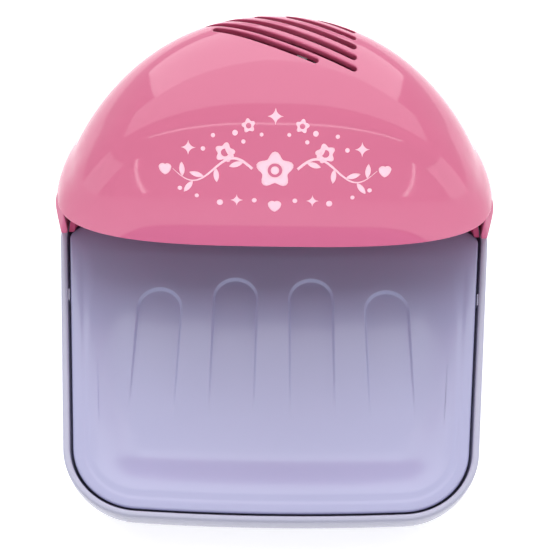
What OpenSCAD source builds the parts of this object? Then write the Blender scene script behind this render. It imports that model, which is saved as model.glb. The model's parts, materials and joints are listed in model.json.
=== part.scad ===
// Fan dryer for finger nails: a slotted dome with a fan over a sprung, grooved finger tray.
// Millimetres, +Z up, front towards -Y. The origin is on the table under the middle of the body.

/* [Overall] */
// Width across the widest line of the base rim
body_w = 132; // [128:1:138]
// Depth from the front edge to the back of the hood
body_d = 142; // [140:1:148]
// Height of the crown of the hood above the table
crown_z = 82; // [81:0.5:88]
// Height of the base rim above the table
rim_z = 18; // [17.8:0.1:19]
// Distance from the widest line back to the back of the hood
wide_back = 47.75; // [46:0.25:50]

/* [Base] */
// Wall of the base shell, which is also the width of its rim
base_wall = 2; // [1.6:0.1:2.2]
// Floor of the base shell
floor_t = 2; // [1.8:0.1:2.2]
// How far the bowl-shaped wall comes in from the rim to the floor
bowl_in = 12; // [9:0.5:13]
// Radius of the front corners, seen from above
corner_r = 23; // [20:0.5:26]
// Angle at which the sides narrow towards the front
side_angle = 4.7; // [3:0.1:6]
// Radius of the slightly bowed front edge
front_bow_r = 684; // [400:1:900]
// Rounding of the rim's two edges
rim_round = 0.6; // [0.3:0.1:0.8]
// Width of a guide lug beside the tray
lug_w = 4; // [3:0.5:6]
// Height that the feet stand out under the base
foot_h = 1.5; // [1:0.1:1.8]
// Radius of a rubber foot
foot_r = 5; // [4:0.25:5.5]

/* [Press tray] */
// Gap between the tray and the rim
tray_gap = 0.9; // [0.8:0.05:1.1]
// Thickness of the tray plate
tray_t = 1.6; // [1.4:0.1:1.8]
// Rolled-over edge of the tray
tray_roll = 1.4; // [0.8:0.1:1.8]
// Depth of the tray's skirt below its edge
tray_skirt = 2.6; // [2.4:0.1:3]
// Distance from the widest line back to the back of the tray
tray_back = 16; // [15:0.25:16.5]
// How far the tray's border and its flat back lie under the rim
tray_drop = 0.6; // [0.5:0.1:0.9]
// Width of the tray's level border
border_w = 2.6; // [2:0.1:3.5]
// Width of the slope from the border down into the dish
border_slope_w = 5; // [4:0.25:6]
// Length of the ramp in front of the flat back
ramp_l = 39; // [36:0.5:42]
// Slope of the ramp
ramp_slope = 0.09; // [0.07:0.005:0.1]
// Rise of the dish from the end of the ramp to the front
front_rise = 2; // [1.5:0.1:2.6]
// Turn of the tray when it is pressed home
press_angle = 1.4; // [1:0.1:1.5]

/* [Finger grooves] */
// Number of finger grooves
groove_count = 4; // [2:1:4]
// Distance between neighbouring grooves at the finger tips
groove_pitch = 22.8; // [20:0.1:24]
// Width of a groove
groove_w = 13.2; // [11:0.1:14]
// Depth of a groove at the finger tip
groove_depth = 1; // [0.6:0.1:1.1]
// How far the two outer grooves stay behind the inner ones
groove_stagger = 3; // [0:0.5:5]
// Angle at which the outer grooves splay
groove_splay = 2; // [0:0.25:4]

/* [Hinge] */
// Radius of the moulded trunnions
trunnion_r = 1.5; // [1.3:0.05:1.6]
// Radial clearance of a trunnion in its ear
trunnion_fit = 0.05; // [0.02:0.01:0.09]
// Height of the hinge axis
hinge_z = 11.3; // [11:0.1:11.5]
// Distance of the hinge axis behind the widest line
hinge_back = 8.75; // [8:0.25:9]
// Thickness of a hinge ear on the tray
ear_t = 2.5; // [2:0.1:3]

/* [Hood] */
// Wall of the hood
hood_wall = 2.2; // [1.8:0.1:2.4]
// Height of the visor's lower edge
lip_z = 43; // [41:0.5:44]
// How far the visor reaches forward of the widest line
lip_reach = 18.4; // [17:0.1:20]
// Distance from the crown back to the back of the hood
crown_back = 24.25; // [23:0.25:27]
// Fullness of the visor's outline
visor_power = 2.35; // [2.1:0.05:2.6]
// Lean of the side walls' front edges
side_edge_lean = 2; // [0:0.25:4]
// Width of an air slot
slot_w = 1.9; // [1.5:0.1:2.2]
// Number of slanting air slots
slot_count = 6; // [4:1:6]
// Distance between neighbouring air slots, front to back
slot_pitch = 4.1; // [3.6:0.1:4.4]
// Distance from the widest line back to the right end of the first full slot
slot_back = 18.75; // [18:0.25:20]
// Angle at which the slots slant
slot_angle = 24; // [15:1:30]

/* [Lining] */
// Wall of the lining
liner_t = 1.6; // [1.4:0.1:1.8]
// Clearance between the lining and the hood
liner_gap = 0.4; // [0.3:0.05:0.6]
// How far the ceiling lies above the visor's edge
ceiling_up = 1; // [0.8:0.1:1.5]
// Distance from the widest line back to the top of the sloping back
scoop_top = 41; // [40:0.5:41.5]
// Gap from the rim up to the lower edge of the lining
scoop_lift = 0.3; // [0.3:0.1:0.5]

/* [Fan] */
// Radius of the fan wheel
fan_r = 19.3; // [17:0.1:19.5]
// Gap between the blade tips and the duct
tip_gap = 1; // [0.8:0.1:1.3]
// Wall of the air duct
duct_t = 1.5; // [1.2:0.1:1.6]
// Number of blades
blade_count = 7; // [5:1:9]
// Height of the fan wheel
fan_h = 6.8; // [6:0.1:7]
// Radius of the wheel's hub
hub_r = 6.5; // [5:0.1:7]
// Distance of the fan's axis behind the widest line
fan_back = 16.75; // [16.5:0.25:17.5]

/* [Outlet grille] */
// Radius of the grille's middle disc
grille_hub_r = 5; // [4:0.25:6]
// Width of the grille's rings and spokes
grille_bar = 1.2; // [1:0.1:1.5]
// Number of rings between the disc and the collar
grille_rings = 3; // [2:1:4]
// Width of the flange round the duct
grille_flange = 2; // [1.5:0.1:2.5]

/* [Motor] */
// Radius of the motor can
motor_r = 12.2; // [11.5:0.1:12.5]
// Height of the motor can
motor_h = 11.5; // [11:0.1:12]
// Radius of the motor shaft
shaft_r = 1; // [0.9:0.05:1.1]
// Thickness of the motor bracket
bracket_t = 1.5; // [1.2:0.1:1.8]

/* [Batteries] */
// Diameter of a cell
cell_d = 10.5; // [10:0.1:10.5]
// Length of a cell with its nub
cell_l = 44.5; // [43:0.1:45]
// Room for the coil contacts
contact_room = 4.1; // [3.6:0.1:4.2]
// Space between the two cells
cell_gap = 1.5; // [1:0.1:2]
// Thickness of the battery door
door_t = 1.4; // [1.2:0.1:1.6]
// Clearance round the battery door
door_gap = 0.2; // [0.1:0.05:0.3]
// Travel of the door until its tongues are free
door_travel = 3.6; // [3.4:0.1:3.8]

/* [Springs and switch] */
// Distance of the switch in front of the widest line
switch_ahead = 31.25; // [30:0.25:33]
// Length of a switch terminal
terminal_l = 3.4; // [3:0.1:4]
// Mean radius of a tray spring
spring_r = 3.4; // [3:0.1:3.8]
// Radius of the tray springs' wire
spring_wire_r = 0.3; // [0.25:0.05:0.4]
// Turns of a tray spring
spring_turns = 5; // [4:1:6]
// Travel to spare in the switch button
switch_spare = 0.5; // [0.3:0.1:0.8]
// Gap between the tray and the switch button at rest
switch_gap = 0.3; // [0.2:0.05:0.4]

/* [Screws] */
// Depth of the case screws' seats above the underside
head_seat = 4; // [3.6:0.1:4.4]
// Radius of the case screws' shanks
case_screw_r = 1.2; // [1:0.05:1.3]
// Radius of the lining screws' shanks
liner_screw_r = 1; // [0.8:0.05:1.1]
// Clearance of a screw in its hole
screw_fit = 0.05; // [0.03:0.01:0.1]

/* [Wires] */
// Radius of a wire over its sleeve
wire_r = 0.55; // [0.45:0.05:0.65]

/* [Hidden] */

$fn = 48;
tiny = 0.01;
part_gap = 0.3;        // clearance between pieces that pass each other
seat_gap = 0.1;        // clearance between pieces that rest on each other

// Outline of the base, seen from above
half_w = body_w / 2;
front_y = -body_d / 2;
back_y = body_d / 2;
wide_y = back_y - wide_back;
back_steps = 28;
corner_steps = 7;
front_steps = 6;
outline_n = back_steps + 2 * corner_steps + front_steps + 2;
bow_centre_y = front_y + front_bow_r;
side_normal = [cos(side_angle), -sin(side_angle)];
side_run = [-sin(side_angle), -cos(side_angle)];
corner_from = [half_w, wide_y] - corner_r * side_normal - [0, bow_centre_y];
corner_b = corner_from * side_run;
corner_s = -corner_b + sqrt(corner_b * corner_b - corner_from * corner_from
                            + pow(front_bow_r - corner_r, 2));
corner_c = corner_from + corner_s * side_run + [0, bow_centre_y];
bow_angle = atan2(corner_c.x, bow_centre_y - corner_c.y);

// Heights in the base
base_z = foot_h;
floor_z = base_z + floor_t;
tray_flat_z = rim_z - tray_drop;
ramp_y = wide_y - 4.25;
ramp_end_y = ramp_y - ramp_l;
dish_run = ramp_end_y - front_y;
ramp_end_z = tray_flat_z - ramp_slope * (ramp_y - ramp_end_y);
dish_curve = (front_rise + ramp_slope * dish_run) / (dish_run * dish_run);

// Tray and hinge
tray_off = base_wall + tray_gap;
hinge_y = wide_y + hinge_back;
ear_x = 33;
ear_gap = 0.5;
base_ear_x = ear_x + ear_t + ear_gap;
base_ear_t = 3.5;
ear_r = 3;
trunnion_bore_r = trunnion_r + trunnion_fit;
spring_x = 37.5;
spring_y = front_y + 21;
spring_post_r = spring_r - spring_wire_r - part_gap;
spring_top_z = tray_z(spring_y) - tray_t - seat_gap;
spring_seat_z = floor_z + seat_gap;

// Hood
crown_y = back_y - crown_back;
hood_h = crown_z - rim_z;
side_power = 2.5;
side_root = 2.4;
back_power = 5.6;
back_root = 2.54;
wide_power = 3.5;
lip_t = (lip_z - rim_z) / hood_h;
front_span = (crown_y - (wide_y - lip_reach)) / swell(lip_t, side_power, side_root);
skirt_front_y = crown_y - front_span;
section_n = 72;
dome_steps = 18;
side_edge_y = wide_y + 1.25;
slot_right_x = 22;
slot_left_x = -20;
slot_first_y = wide_y + slot_back;
slot_back_y = crown_y + 15.75;

// Lining and fan
fan_y = wide_y + fan_back;
duct_r = fan_r + tip_gap;
duct_out_r = duct_r + duct_t;
ceiling_z = lip_z + ceiling_up;
ceiling_top_z = ceiling_z + liner_t;
scoop_z = rim_z + scoop_lift;
scoop_side = half_w - hood_wall - liner_gap;
scoop_upright = 3;      // height of the upright part over the sloping back
motor_z = ceiling_top_z + 1.6;
motor_top_z = motor_z + motor_h;
bracket_top_z = motor_top_z + bracket_t;
screw_head_h = 1.2;
fan_z = bracket_top_z + screw_head_h + part_gap + 0.2;
duct_top_z = fan_z + 3.5;
ledge_w = 1.4;
ledge_h = 1.5;
bearing_r = 3.1;
bearing_h = 1.2;
motor_screw_x = 8;

// Posts and screws
side_post = [half_w - 26, wide_y + 21.5];
rear_post = [20, wide_y + 28.75];
posts = [side_post, [-side_post.x, side_post.y], rear_post, [-rear_post.x, rear_post.y]];
post_z = 12;
post_top_z = 24;
post_r = 3.4;
base_post_r = 4;
case_head_r = 2.6;
case_head_h = 1.6;
head_recess_r = case_head_r + 0.2;
head_seat_z = base_z + head_seat;
case_screw_top = post_top_z - 3;
liner_front = [half_w - 30, wide_y - 3.25];
liner_rear = [half_w - 32, rear_post.y];
liner_posts = [liner_front, [-liner_front.x, liner_front.y], liner_rear, [-liner_rear.x, liner_rear.y]];
liner_post_r = 3;
liner_head_r = 2.1;
motor_head_r = 1.9;
motor_head_h = screw_head_h - 0.2;
drive_w = 0.6;
liner_screw_l = 8;

// Battery bay
cell_r = cell_d / 2;
door_top_z = base_z + door_t;
cell_z = door_top_z + door_gap + cell_r;
bay_y = wide_y + 8.75;
cell_pitch = cell_d + cell_gap;
front_cell_y = bay_y - cell_pitch / 2;
rear_cell_y = bay_y + cell_pitch / 2;
bay_wall = 1.4;
bay_half_y = cell_pitch / 2 + cell_r + 0.45;
nub_h = 1;
nub_x = cell_l / 2 + contact_room / 2;
coil_end_x = cell_l / 2 - contact_room / 2;
contact_t = 0.4;
contact_back_x = nub_x + 2.6;
bay_half_x = contact_back_x + contact_t + seat_gap;
bay_roof_z = cell_z + cell_r + part_gap;
bay_top_z = bay_roof_z + 1;
tongue_y = bay_y - bay_half_y - 4;
tongue_l = 3.4;
tongue_t = 1;
tongue_w = 6;
tongue_x = 11;
door_ledge_t = 1.3;
tag_w = 3;
tag_t = 0.5;
tag_z = cell_z + 3.9;
tag_out = 4;

// Wires
floor_wire_z = floor_z + wire_r + part_gap;
tag_wire_z = tag_z + tag_t + wire_r + seat_gap;
tag_end_x = contact_back_x + contact_t + tag_out;
motor_tag_x = 5;
motor_tag_t = 0.5;
motor_tag_end = motor_r + 1;
duct_hole_z = ceiling_top_z + 3.8;

// Switch
switch_y = wide_y - switch_ahead;
switch_w = 12.8;
switch_d = 5.8;
switch_h = 6.5;
switch_z = floor_z + seat_gap;
switch_top_z = switch_z + switch_h;
plunger_r = 0.9;
plunger_fit = 0.05;
switch_arm = hinge_y - switch_y;
switch_travel = switch_arm * tan(press_angle);
plunger_top_z = switch_top_z + switch_travel + 0.35;
plunger_low_z = switch_top_z - 2.6;
switch_wall_t = 2.4;
switch_hole_x = 3.25;
switch_hole_z = switch_z + 1.7;
switch_screw_r = 0.75;

foot_recess = 0.7;
feet = [[42, wide_y + 3.75], [-42, wide_y + 3.75], [36, front_y + 23], [-36, front_y + 23]];

// Share of the full radius that a rounded profile still has at height share t
function swell(t, p, q) = pow(max(0, 1 - pow(t, p)), 1 / q);

// Height of the tray's upper face: flat back, ramp, then a dish that rises to the front
function tray_z(y) =
    y > ramp_y ? tray_flat_z :
    y > ramp_end_y ? tray_flat_z - ramp_slope * (ramp_y - y) :
    ramp_end_z - ramp_slope * (ramp_end_y - y) + dish_curve * pow(ramp_end_y - y, 2);

// Height of the tray at a distance off from the base outline: border, slope, then dish
function border_share(off) = min(1, max(0, (off - tray_off - border_w) / border_slope_w));
function tray_face(off, y) =
    let (s = border_share(off)) tray_flat_z + (tray_z(y) - tray_flat_z) * s * s * (3 - 2 * s);

// Base outline drawn in by off, with its rounded back reaching depth behind the widest line
function outline(off, depth) =
    let (r = corner_r - off, bow = front_bow_r - off)
    concat(
        [for (i = [0:back_steps])
            let (a = 180 * i / back_steps)
            [(half_w - off) * cos(a), wide_y + (depth - off) * sin(a)]],
        [for (i = [0:corner_steps])
            let (a = 180 + side_angle + (90 - side_angle - bow_angle) * i / corner_steps)
            [r * cos(a) - corner_c.x, r * sin(a) + corner_c.y]],
        [for (i = [1:front_steps - 1])
            let (a = 270 - bow_angle + 2 * bow_angle * i / front_steps)
            [bow * cos(a), bow_centre_y + bow * sin(a)]],
        [for (i = [0:corner_steps])
            let (a = 270 + bow_angle + (90 - side_angle - bow_angle) * i / corner_steps)
            [r * cos(a) + corner_c.x, r * sin(a) + corner_c.y]]);

function at_height(ring, z) = [for (p = ring) [p.x, p.y, z]];
function tray_ring(off, drop) = [for (p = outline(off, tray_back)) [p.x, p.y, tray_face(off, p.y) - drop]];

// How far the bowl has come in at height z
function bowl_off(z) = bowl_in * (1 - sqrt(1 - pow((rim_z - z) / (rim_z - base_z), 2) * 0.96));

// One ring of the hood: its shape at height share t, drawn in by w
function hood_ring(t, w) =
    let (a = (half_w - w) * swell(t, side_power, side_root),
         back = crown_y + (back_y - w - crown_y) * swell(t, back_power, back_root),
         front = crown_y - (front_span - w) * swell(t, side_power, side_root),
         mid = wide_y + (crown_y - wide_y) * pow(t, wide_power))
    [for (i = [0:section_n - 1])
        let (u = 360 * i / section_n, n = sin(u) < 0 ? visor_power : 2,
             reach = sin(u) < 0 ? mid - front : back - mid)
        [a * sign(cos(u)) * pow(abs(cos(u)), 2 / n),
         mid + reach * sign(sin(u)) * pow(abs(sin(u)), 2 / n)]];

// Height share on the hood drawn in by w
function hood_share(z, w) = (z - rim_z) / (hood_h - w);

function dome_share(i, steps) = pow(sin(87.5 * i / steps), 2 / side_power);

// Solid between closed rings of n points, from the lowest to the highest
module loft(rings) {
    n = len(rings[0]);
    last = (len(rings) - 1) * n;
    polyhedron(
        points = [for (ring = rings) each ring],
        faces = concat(
            [[for (i = [0:n - 1]) i]],
            [for (k = [0:len(rings) - 2], i = [0:n - 1])
                let (j = (i + 1) % n) [k * n + i, (k + 1) * n + i, (k + 1) * n + j]],
            [for (k = [0:len(rings) - 2], i = [0:n - 1])
                let (j = (i + 1) % n) [k * n + i, (k + 1) * n + j, k * n + j]],
            [[for (i = [n - 1:-1:0]) last + i]]));
}

// Index on the base outline of the point s steps from the back, to the right or to the left
function right_index(s) = (back_steps / 2 - s + outline_n) % outline_n;
function left_index(s) = (back_steps / 2 + s) % outline_n;

// Solid between rings of the base outline whose height changes from front to back
module dished_loft(rings) {
    n = outline_n;
    half = n / 2;
    last = (len(rings) - 1) * n;
    strips = [for (s = [0:half - 1])
        s == 0 ? [right_index(0), right_index(1), left_index(1)] :
        s == half - 1 ? [right_index(s), right_index(half), left_index(s)] :
        [right_index(s), right_index(s + 1), left_index(s + 1), left_index(s)]];
    polyhedron(
        points = [for (ring = rings) each ring],
        faces = concat(
            [for (f = strips) [for (i = [len(f) - 1:-1:0]) f[i]]],
            [for (k = [0:len(rings) - 2], i = [0:n - 1])
                let (j = (i + 1) % n) [k * n + i, (k + 1) * n + i, (k + 1) * n + j]],
            [for (k = [0:len(rings) - 2], i = [0:n - 1])
                let (j = (i + 1) % n) [k * n + i, (k + 1) * n + j, k * n + j]],
            [for (f = strips) [for (i = f) last + i]]));
}

// Tube of radius r swept through points, each with its own frame, as one unbroken skin
module sweep(path, r, sides) {
    count = len(path);
    function tangent(i) =
        let (d = path[min(i + 1, count - 1)] - path[max(i - 1, 0)]) d / norm(d);
    function side_of(t) =
        let (s = abs(t.z) < 0.9 ? cross(t, [0, 0, 1]) : cross(t, [1, 0, 0])) s / norm(s);
    loft([for (i = [0:count - 1])
        let (t = tangent(i), u = side_of(t), v = cross(t, u))
        [for (k = [0:sides - 1])
            path[i] + r * (cos(-360 * k / sides) * v + sin(-360 * k / sides) * u)]]);
}

// Upright coil from z = low to z = high, with a closed turn at each end
function coil_path(r0, r1, low, high, turns, wire) =
    let (steps = turns * 8, span = high - low - 2 * wire)
    [for (i = [0:steps])
        let (s = i / steps, a = 360 * i / 8)
        [(r0 + (r1 - r0) * s) * cos(a), (r0 + (r1 - r0) * s) * sin(a), low + wire + span * s]];

// Least gap of a coil to itself, from its points one turn apart
function coil_gap(path, wire) =
    min([for (i = [0:len(path) - 9]) norm(path[i + 8] - path[i])]) - 2 * wire;

module along_x(length) {
    translate([-length / 2, 0, 0]) rotate([90, 0, 90]) linear_extrude(length) children();
}

// Cross-shaped drive of a screw head, down to depth below z = 0
module cross_drive(size, width, depth) {
    translate([-size / 2, -width / 2, -depth]) cube([size, width, depth + 1]);
    translate([-width / 2, -size / 2, -depth]) cube([width, size, depth + 1]);
}

module both_sides() {
    children();
    mirror([1, 0, 0]) children();
}

// Full shape of the hood, drawn in by w, down to height low
module hood_form(w, low, steps) {
    top = crown_z - w;
    loft(concat(
        [at_height(hood_ring(0, w), low)],
        [for (i = [0:steps])
            let (t = dome_share(i, steps))
            at_height(hood_ring(t, w), i == steps ? top : rim_z + (top - rim_z) * t)]));
}

// ---------------------------------------------------------------- base

// Form of the bowl drawn in by inset. The rim's edge is rounded: in for the outer form, which
// stops at the rim, and out for the hollow, which goes on above it
module bowl(inset, low, hollow) {
    steps = 6;
    top = rim_z - rim_round;
    heights = [for (i = [0:steps]) low + (top - low) * pow(i / steps, 1.6)];
    rings = [for (z = heights)
        at_height(outline(inset + bowl_off(max(base_z, z - inset * 0.35)), wide_back), z)];
    way = hollow ? -1 : 1;
    edge = [for (a = [45, 90])
        at_height(outline(inset + way * rim_round * (1 - cos(a)), wide_back), top + rim_round * sin(a))];
    above = at_height(outline(inset + way * rim_round, wide_back), rim_z + 1);
    loft(concat(rings, edge, hollow ? [above] : []));
}

// The wall's inner face on the right at height z, where the side runs straight
function side_x(y, z) =
    half_w - base_wall - bowl_off(max(base_z, z - base_wall * 0.35)) - (wide_y - y) * tan(side_angle);

// Lug on the wall's inner face that keeps the tray in the middle
module guide_lug() {
    out = tray_gap / 2;
    y0 = wide_y - 20 - lug_w / 2;
    y1 = y0 + lug_w;
    loft([for (z = [floor_z + 6, floor_z + 9, rim_z - 2 * rim_round])
        [[side_x(y0, z) - out, y0, z], [side_x(y0, z) + base_wall / 2, y0, z],
         [side_x(y1, z) + base_wall / 2, y1, z], [side_x(y1, z) - out, y1, z]]]);
}

module base_ear() {
    translate([base_ear_x, hinge_y - ear_r, base_z + tiny])
        cube([base_ear_t, 2 * ear_r, hinge_z - base_z]);
    translate([base_ear_x, hinge_y, hinge_z])
        rotate([0, 90, 0]) cylinder(h = base_ear_t, r = ear_r);
}

module battery_bay() {
    y0 = bay_y - bay_half_y;
    translate([-bay_half_x - bay_wall, y0 - bay_wall, base_z])
        cube([2 * (bay_half_x + bay_wall), 2 * (bay_half_y + bay_wall), bay_top_z - base_z]);
    translate([-bay_half_x - bay_wall, y0, base_z])
        cube([2 * (bay_half_x + bay_wall),
              2 * bay_half_y + door_travel + 1.6, door_top_z + seat_gap + door_ledge_t - base_z]);
}

module battery_bay_space() {
    y0 = bay_y - bay_half_y;
    translate([-bay_half_x, y0, base_z - 1])
        cube([2 * bay_half_x, 2 * bay_half_y, bay_roof_z - base_z + 1]);
    translate([-bay_half_x, tongue_y, base_z - 1])
        cube([2 * bay_half_x, 2 * bay_half_y, floor_z - base_z + 1 + tongue_t + 2 * seat_gap]);
    translate([-bay_half_x, y0, base_z - 1])
        cube([2 * bay_half_x, 2 * bay_half_y + door_travel + 0.2, door_t + 1 + seat_gap]);
    for (y = [front_cell_y, rear_cell_y])
        translate([bay_half_x - 1, y - tag_w / 2 - seat_gap, tag_z - seat_gap])
            cube([bay_wall + 2, tag_w + 2 * seat_gap, tag_t + 2 * seat_gap]);
}

module base_post_holes() {
    for (p = posts) translate([p.x, p.y, 0]) {
        translate([0, 0, base_z - 1]) cylinder(h = head_seat_z - base_z + 1, r = head_recess_r);
        cylinder(h = post_z + 1, r = case_screw_r + 0.3);
    }
}

module switch_mount() {
    translate([-switch_w / 2 - 0.6, switch_y + switch_d / 2 + seat_gap, base_z + tiny])
        cube([switch_w + 1.2, switch_wall_t, switch_hole_z + 3 - base_z]);
}

module switch_holes(r, y0, length) {
    for (x = [-switch_hole_x, switch_hole_x])
        translate([x, y0, switch_hole_z]) rotate([-90, 0, 0]) cylinder(h = length, r = r);
}

module base_shell() color([0.74, 0.74, 0.86]) difference() {
    union() {
        difference() {
            bowl(0, base_z, false);
            bowl(base_wall, floor_z, true);
        }
        both_sides() guide_lug();
        for (p = posts) translate([p.x, p.y, base_z]) cylinder(h = post_z - base_z, r = base_post_r);
        both_sides() base_ear();
        both_sides() translate([spring_x, spring_y, base_z + tiny])
            cylinder(h = floor_z - base_z + 2, r = spring_post_r);
        battery_bay();
        switch_mount();
    }
    battery_bay_space();
    base_post_holes();
    both_sides() translate([base_ear_x - 1, hinge_y, hinge_z])
        rotate([0, 90, 0]) cylinder(h = base_ear_t + 2, r = trunnion_bore_r);
    switch_holes(switch_screw_r + screw_fit, switch_y, switch_d / 2 + seat_gap + switch_wall_t + 1);
    for (p = feet) translate([p.x, p.y, base_z - 1]) cylinder(h = 1 + foot_recess, r = foot_r + seat_gap);
}

module rubber_feet() color([0.25, 0.25, 0.27])
    for (p = feet) translate([p.x, p.y, 0]) {
        cylinder(h = 0.5, r1 = foot_r - 0.5, r2 = foot_r);
        translate([0, 0, 0.5]) cylinder(h = foot_h + foot_recess - 0.5, r = foot_r);
    }

module case_screws() color([0.7, 0.7, 0.72])
    for (p = posts) translate([p.x, p.y, 0]) difference() {
        union() {
            translate([0, 0, head_seat_z - case_head_h]) cylinder(h = case_head_h, r = case_head_r);
            translate([0, 0, head_seat_z - tiny]) cylinder(h = case_screw_top - head_seat_z, r = case_screw_r);
        }
        translate([0, 0, head_seat_z - case_head_h]) rotate([180, 0, 0])
            cross_drive(case_head_r * 1.23, drive_w, case_head_h / 2);
    }

// ---------------------------------------------------------------- tray

module tray_plate() {
    roll_steps = 4;
    slope_steps = 4;
    skirt_in = 1.3;
    slope_off = tray_off + border_w;
    inner_off = tray_off + skirt_in + tray_t;
    difference() {
        dished_loft(concat(
            [at_height(outline(tray_off + skirt_in, tray_back), tray_flat_z - tray_roll - tray_skirt)],
            [for (i = [0:roll_steps])
                let (a = 90 * i / roll_steps)
                tray_ring(tray_off + tray_roll * (1 - cos(a)), tray_roll * (1 - sin(a)))],
            [for (i = [0:slope_steps])
                tray_ring(slope_off + border_slope_w * i / slope_steps, 0)]));
        dished_loft(concat(
            [at_height(outline(inner_off, tray_back), tray_flat_z - tray_roll - tray_skirt - 3)],
            [for (i = [0:2])
                tray_ring(inner_off + (slope_off + border_slope_w - inner_off) * i / 2, tray_t)]));
    }
}

// Cutter for one groove: a round-ended slot whose floor runs out of the dish at the front
module finger_groove(x, tip_y, splay) {
    end_y = ramp_end_y - 7;
    start_z = tray_z(tip_y) - groove_depth;
    fall = atan2(start_z - tray_z(end_y), tip_y - end_y);
    translate([x, tip_y, start_z]) rotate([0, 0, splay]) rotate([fall, 0, 0])
        linear_extrude(6) union() {
            translate([0, -groove_w / 2]) circle(r = groove_w / 2);
            translate([-groove_w / 2, end_y - tip_y - 4])
                square([groove_w, tip_y - end_y + 4 - groove_w / 2]);
        }
}

module tray_ear() {
    top = tray_flat_z - tray_t + 0.5;
    translate([ear_x, hinge_y - ear_r, hinge_z]) cube([ear_t, 2 * ear_r, top - hinge_z]);
    translate([ear_x, hinge_y, hinge_z]) rotate([0, 90, 0]) cylinder(h = ear_t, r = ear_r);
    translate([ear_x + tiny, hinge_y, hinge_z])
        rotate([0, 90, 0]) cylinder(h = ear_t + ear_gap + base_ear_t, r = trunnion_r);
}

// Room for the hinge ears and the battery bay, where the tray has no skirt
module skirt_gap() {
    x = base_ear_x + base_ear_t + 1;
    translate([-x, wide_y + 2, 0]) cube([2 * x, body_d, tray_flat_z - tray_t]);
}

module press_tray() color([0.71, 0.71, 0.85]) difference() {
    union() {
        difference() {
            tray_plate();
            skirt_gap();
        }
        both_sides() tray_ear();
        both_sides() intersection() {
            translate([spring_x, spring_y, tray_z(spring_y) - tray_t - 2])
                cylinder(h = 2.6, r = spring_post_r);
            translate([0, 0, -tray_t / 2]) tray_under_room();
        }
        translate([-1.2, switch_y - 2, plunger_top_z + switch_gap])
            cube([2.4, 4, tray_z(switch_y) - tray_t / 2 - plunger_top_z - switch_gap]);
    }
    for (i = [0:groove_count - 1]) {
        k = i - (groove_count - 1) / 2;
        outer = abs(k) > 1;
        finger_groove(k * groove_pitch, wide_y - 10.5 - (outer ? groove_stagger : 0),
                      sign(k) * groove_splay * (outer ? 1 : 0.4));
    }
}

// Everything under the middle of the tray plate, to trim what stands on its underside
module tray_under_room() {
    along_x(body_w) polygon(concat(
        [[back_y, 0], [back_y, tray_flat_z]],
        [for (i = [0:12]) let (y = ramp_y - (ramp_y - ramp_end_y) * i / 12) [y, tray_z(y)]],
        [for (i = [1:20]) let (y = ramp_end_y - dish_run * i / 20) [y, tray_z(y)]],
        [[front_y, 0]]));
}

module tray_spring() {
    path = coil_path(spring_r, spring_r, spring_seat_z, spring_top_z, spring_turns, spring_wire_r);
    echo(tray_spring_gap = coil_gap(path, spring_wire_r));
    translate([spring_x, spring_y, 0]) sweep(path, spring_wire_r, 6);
}

module tray_spring_right() color([0.75, 0.75, 0.78]) tray_spring();
module tray_spring_left() color([0.75, 0.75, 0.78]) mirror([1, 0, 0]) tray_spring();

// ---------------------------------------------------------------- hood

module hood_front_cut() {
    along_x(body_w + 10) polygon([
        [front_y - 5, rim_z - 5], [side_edge_y, rim_z - 5], [side_edge_y, rim_z],
        [side_edge_y - side_edge_lean, lip_z], [front_y - 5, lip_z]]);
}

module air_slots() {
    for (i = [0:slot_count - 1]) {
        right = i == 0 ? slot_right_x - 11 : slot_right_x;
        right_y = i == 0 ? slot_first_y + 1.6 : slot_first_y + (i - 1) * slot_pitch;
        wanted = i == 0 ? right - 28.6 : slot_left_x;
        left = max(wanted, right - (slot_back_y - right_y) / tan(slot_angle));
        left_y = right_y + (right - left) * tan(slot_angle);
        hull() {
            translate([right, right_y, lip_z + 20]) cylinder(h = hood_h, d = slot_w, $fn = 16);
            translate([left, left_y, lip_z + 20]) cylinder(h = hood_h, d = slot_w, $fn = 16);
        }
    }
}

module post_rib(p) {
    dir = (p - [0, wide_y]) / norm(p - [0, wide_y]);
    hull() {
        translate([p.x, p.y, rim_z + 0.2]) cylinder(h = post_top_z - rim_z - 0.2, r = 0.8, $fn = 12);
        translate([p.x + 30 * dir.x, p.y + 30 * dir.y, rim_z + 0.2])
            cylinder(h = post_top_z - rim_z - 0.2, r = 0.8, $fn = 12);
    }
}

module hood_shell() color([0.89, 0.52, 0.64]) difference() {
    union() {
        difference() {
            hood_form(0, rim_z, dome_steps);
            hood_form(hood_wall, rim_z - 1, dome_steps);
            hood_front_cut();
            air_slots();
        }
        intersection() {
            hood_form(hood_wall / 2, post_z - 1, dome_steps);
            union() {
                for (p = posts) {
                    translate([p.x, p.y, post_z]) cylinder(h = post_top_z - post_z, r = post_r, $fn = 32);
                    post_rib(p);
                }
                for (p = liner_posts)
                    translate([p.x, p.y, ceiling_top_z])
                        cylinder(h = crown_z - ceiling_top_z, r = liner_post_r, $fn = 32);
            }
        }
    }
    for (p = posts) translate([p.x, p.y, post_z - 1])
        cylinder(h = case_screw_top + 1 - post_z + 1, r = case_screw_r + screw_fit, $fn = 32);
    for (p = liner_posts) translate([p.x, p.y, ceiling_top_z - 1])
        cylinder(h = liner_screw_l + 1, r = liner_screw_r + screw_fit, $fn = 32);
}

// ---------------------------------------------------------------- lining and fan

function half_ring(side, depth, steps) = concat(
    [for (i = [0:steps]) let (a = 180 * i / steps) [side * cos(a), side_edge_y + 0.2 + depth * sin(a)]]);

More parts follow.
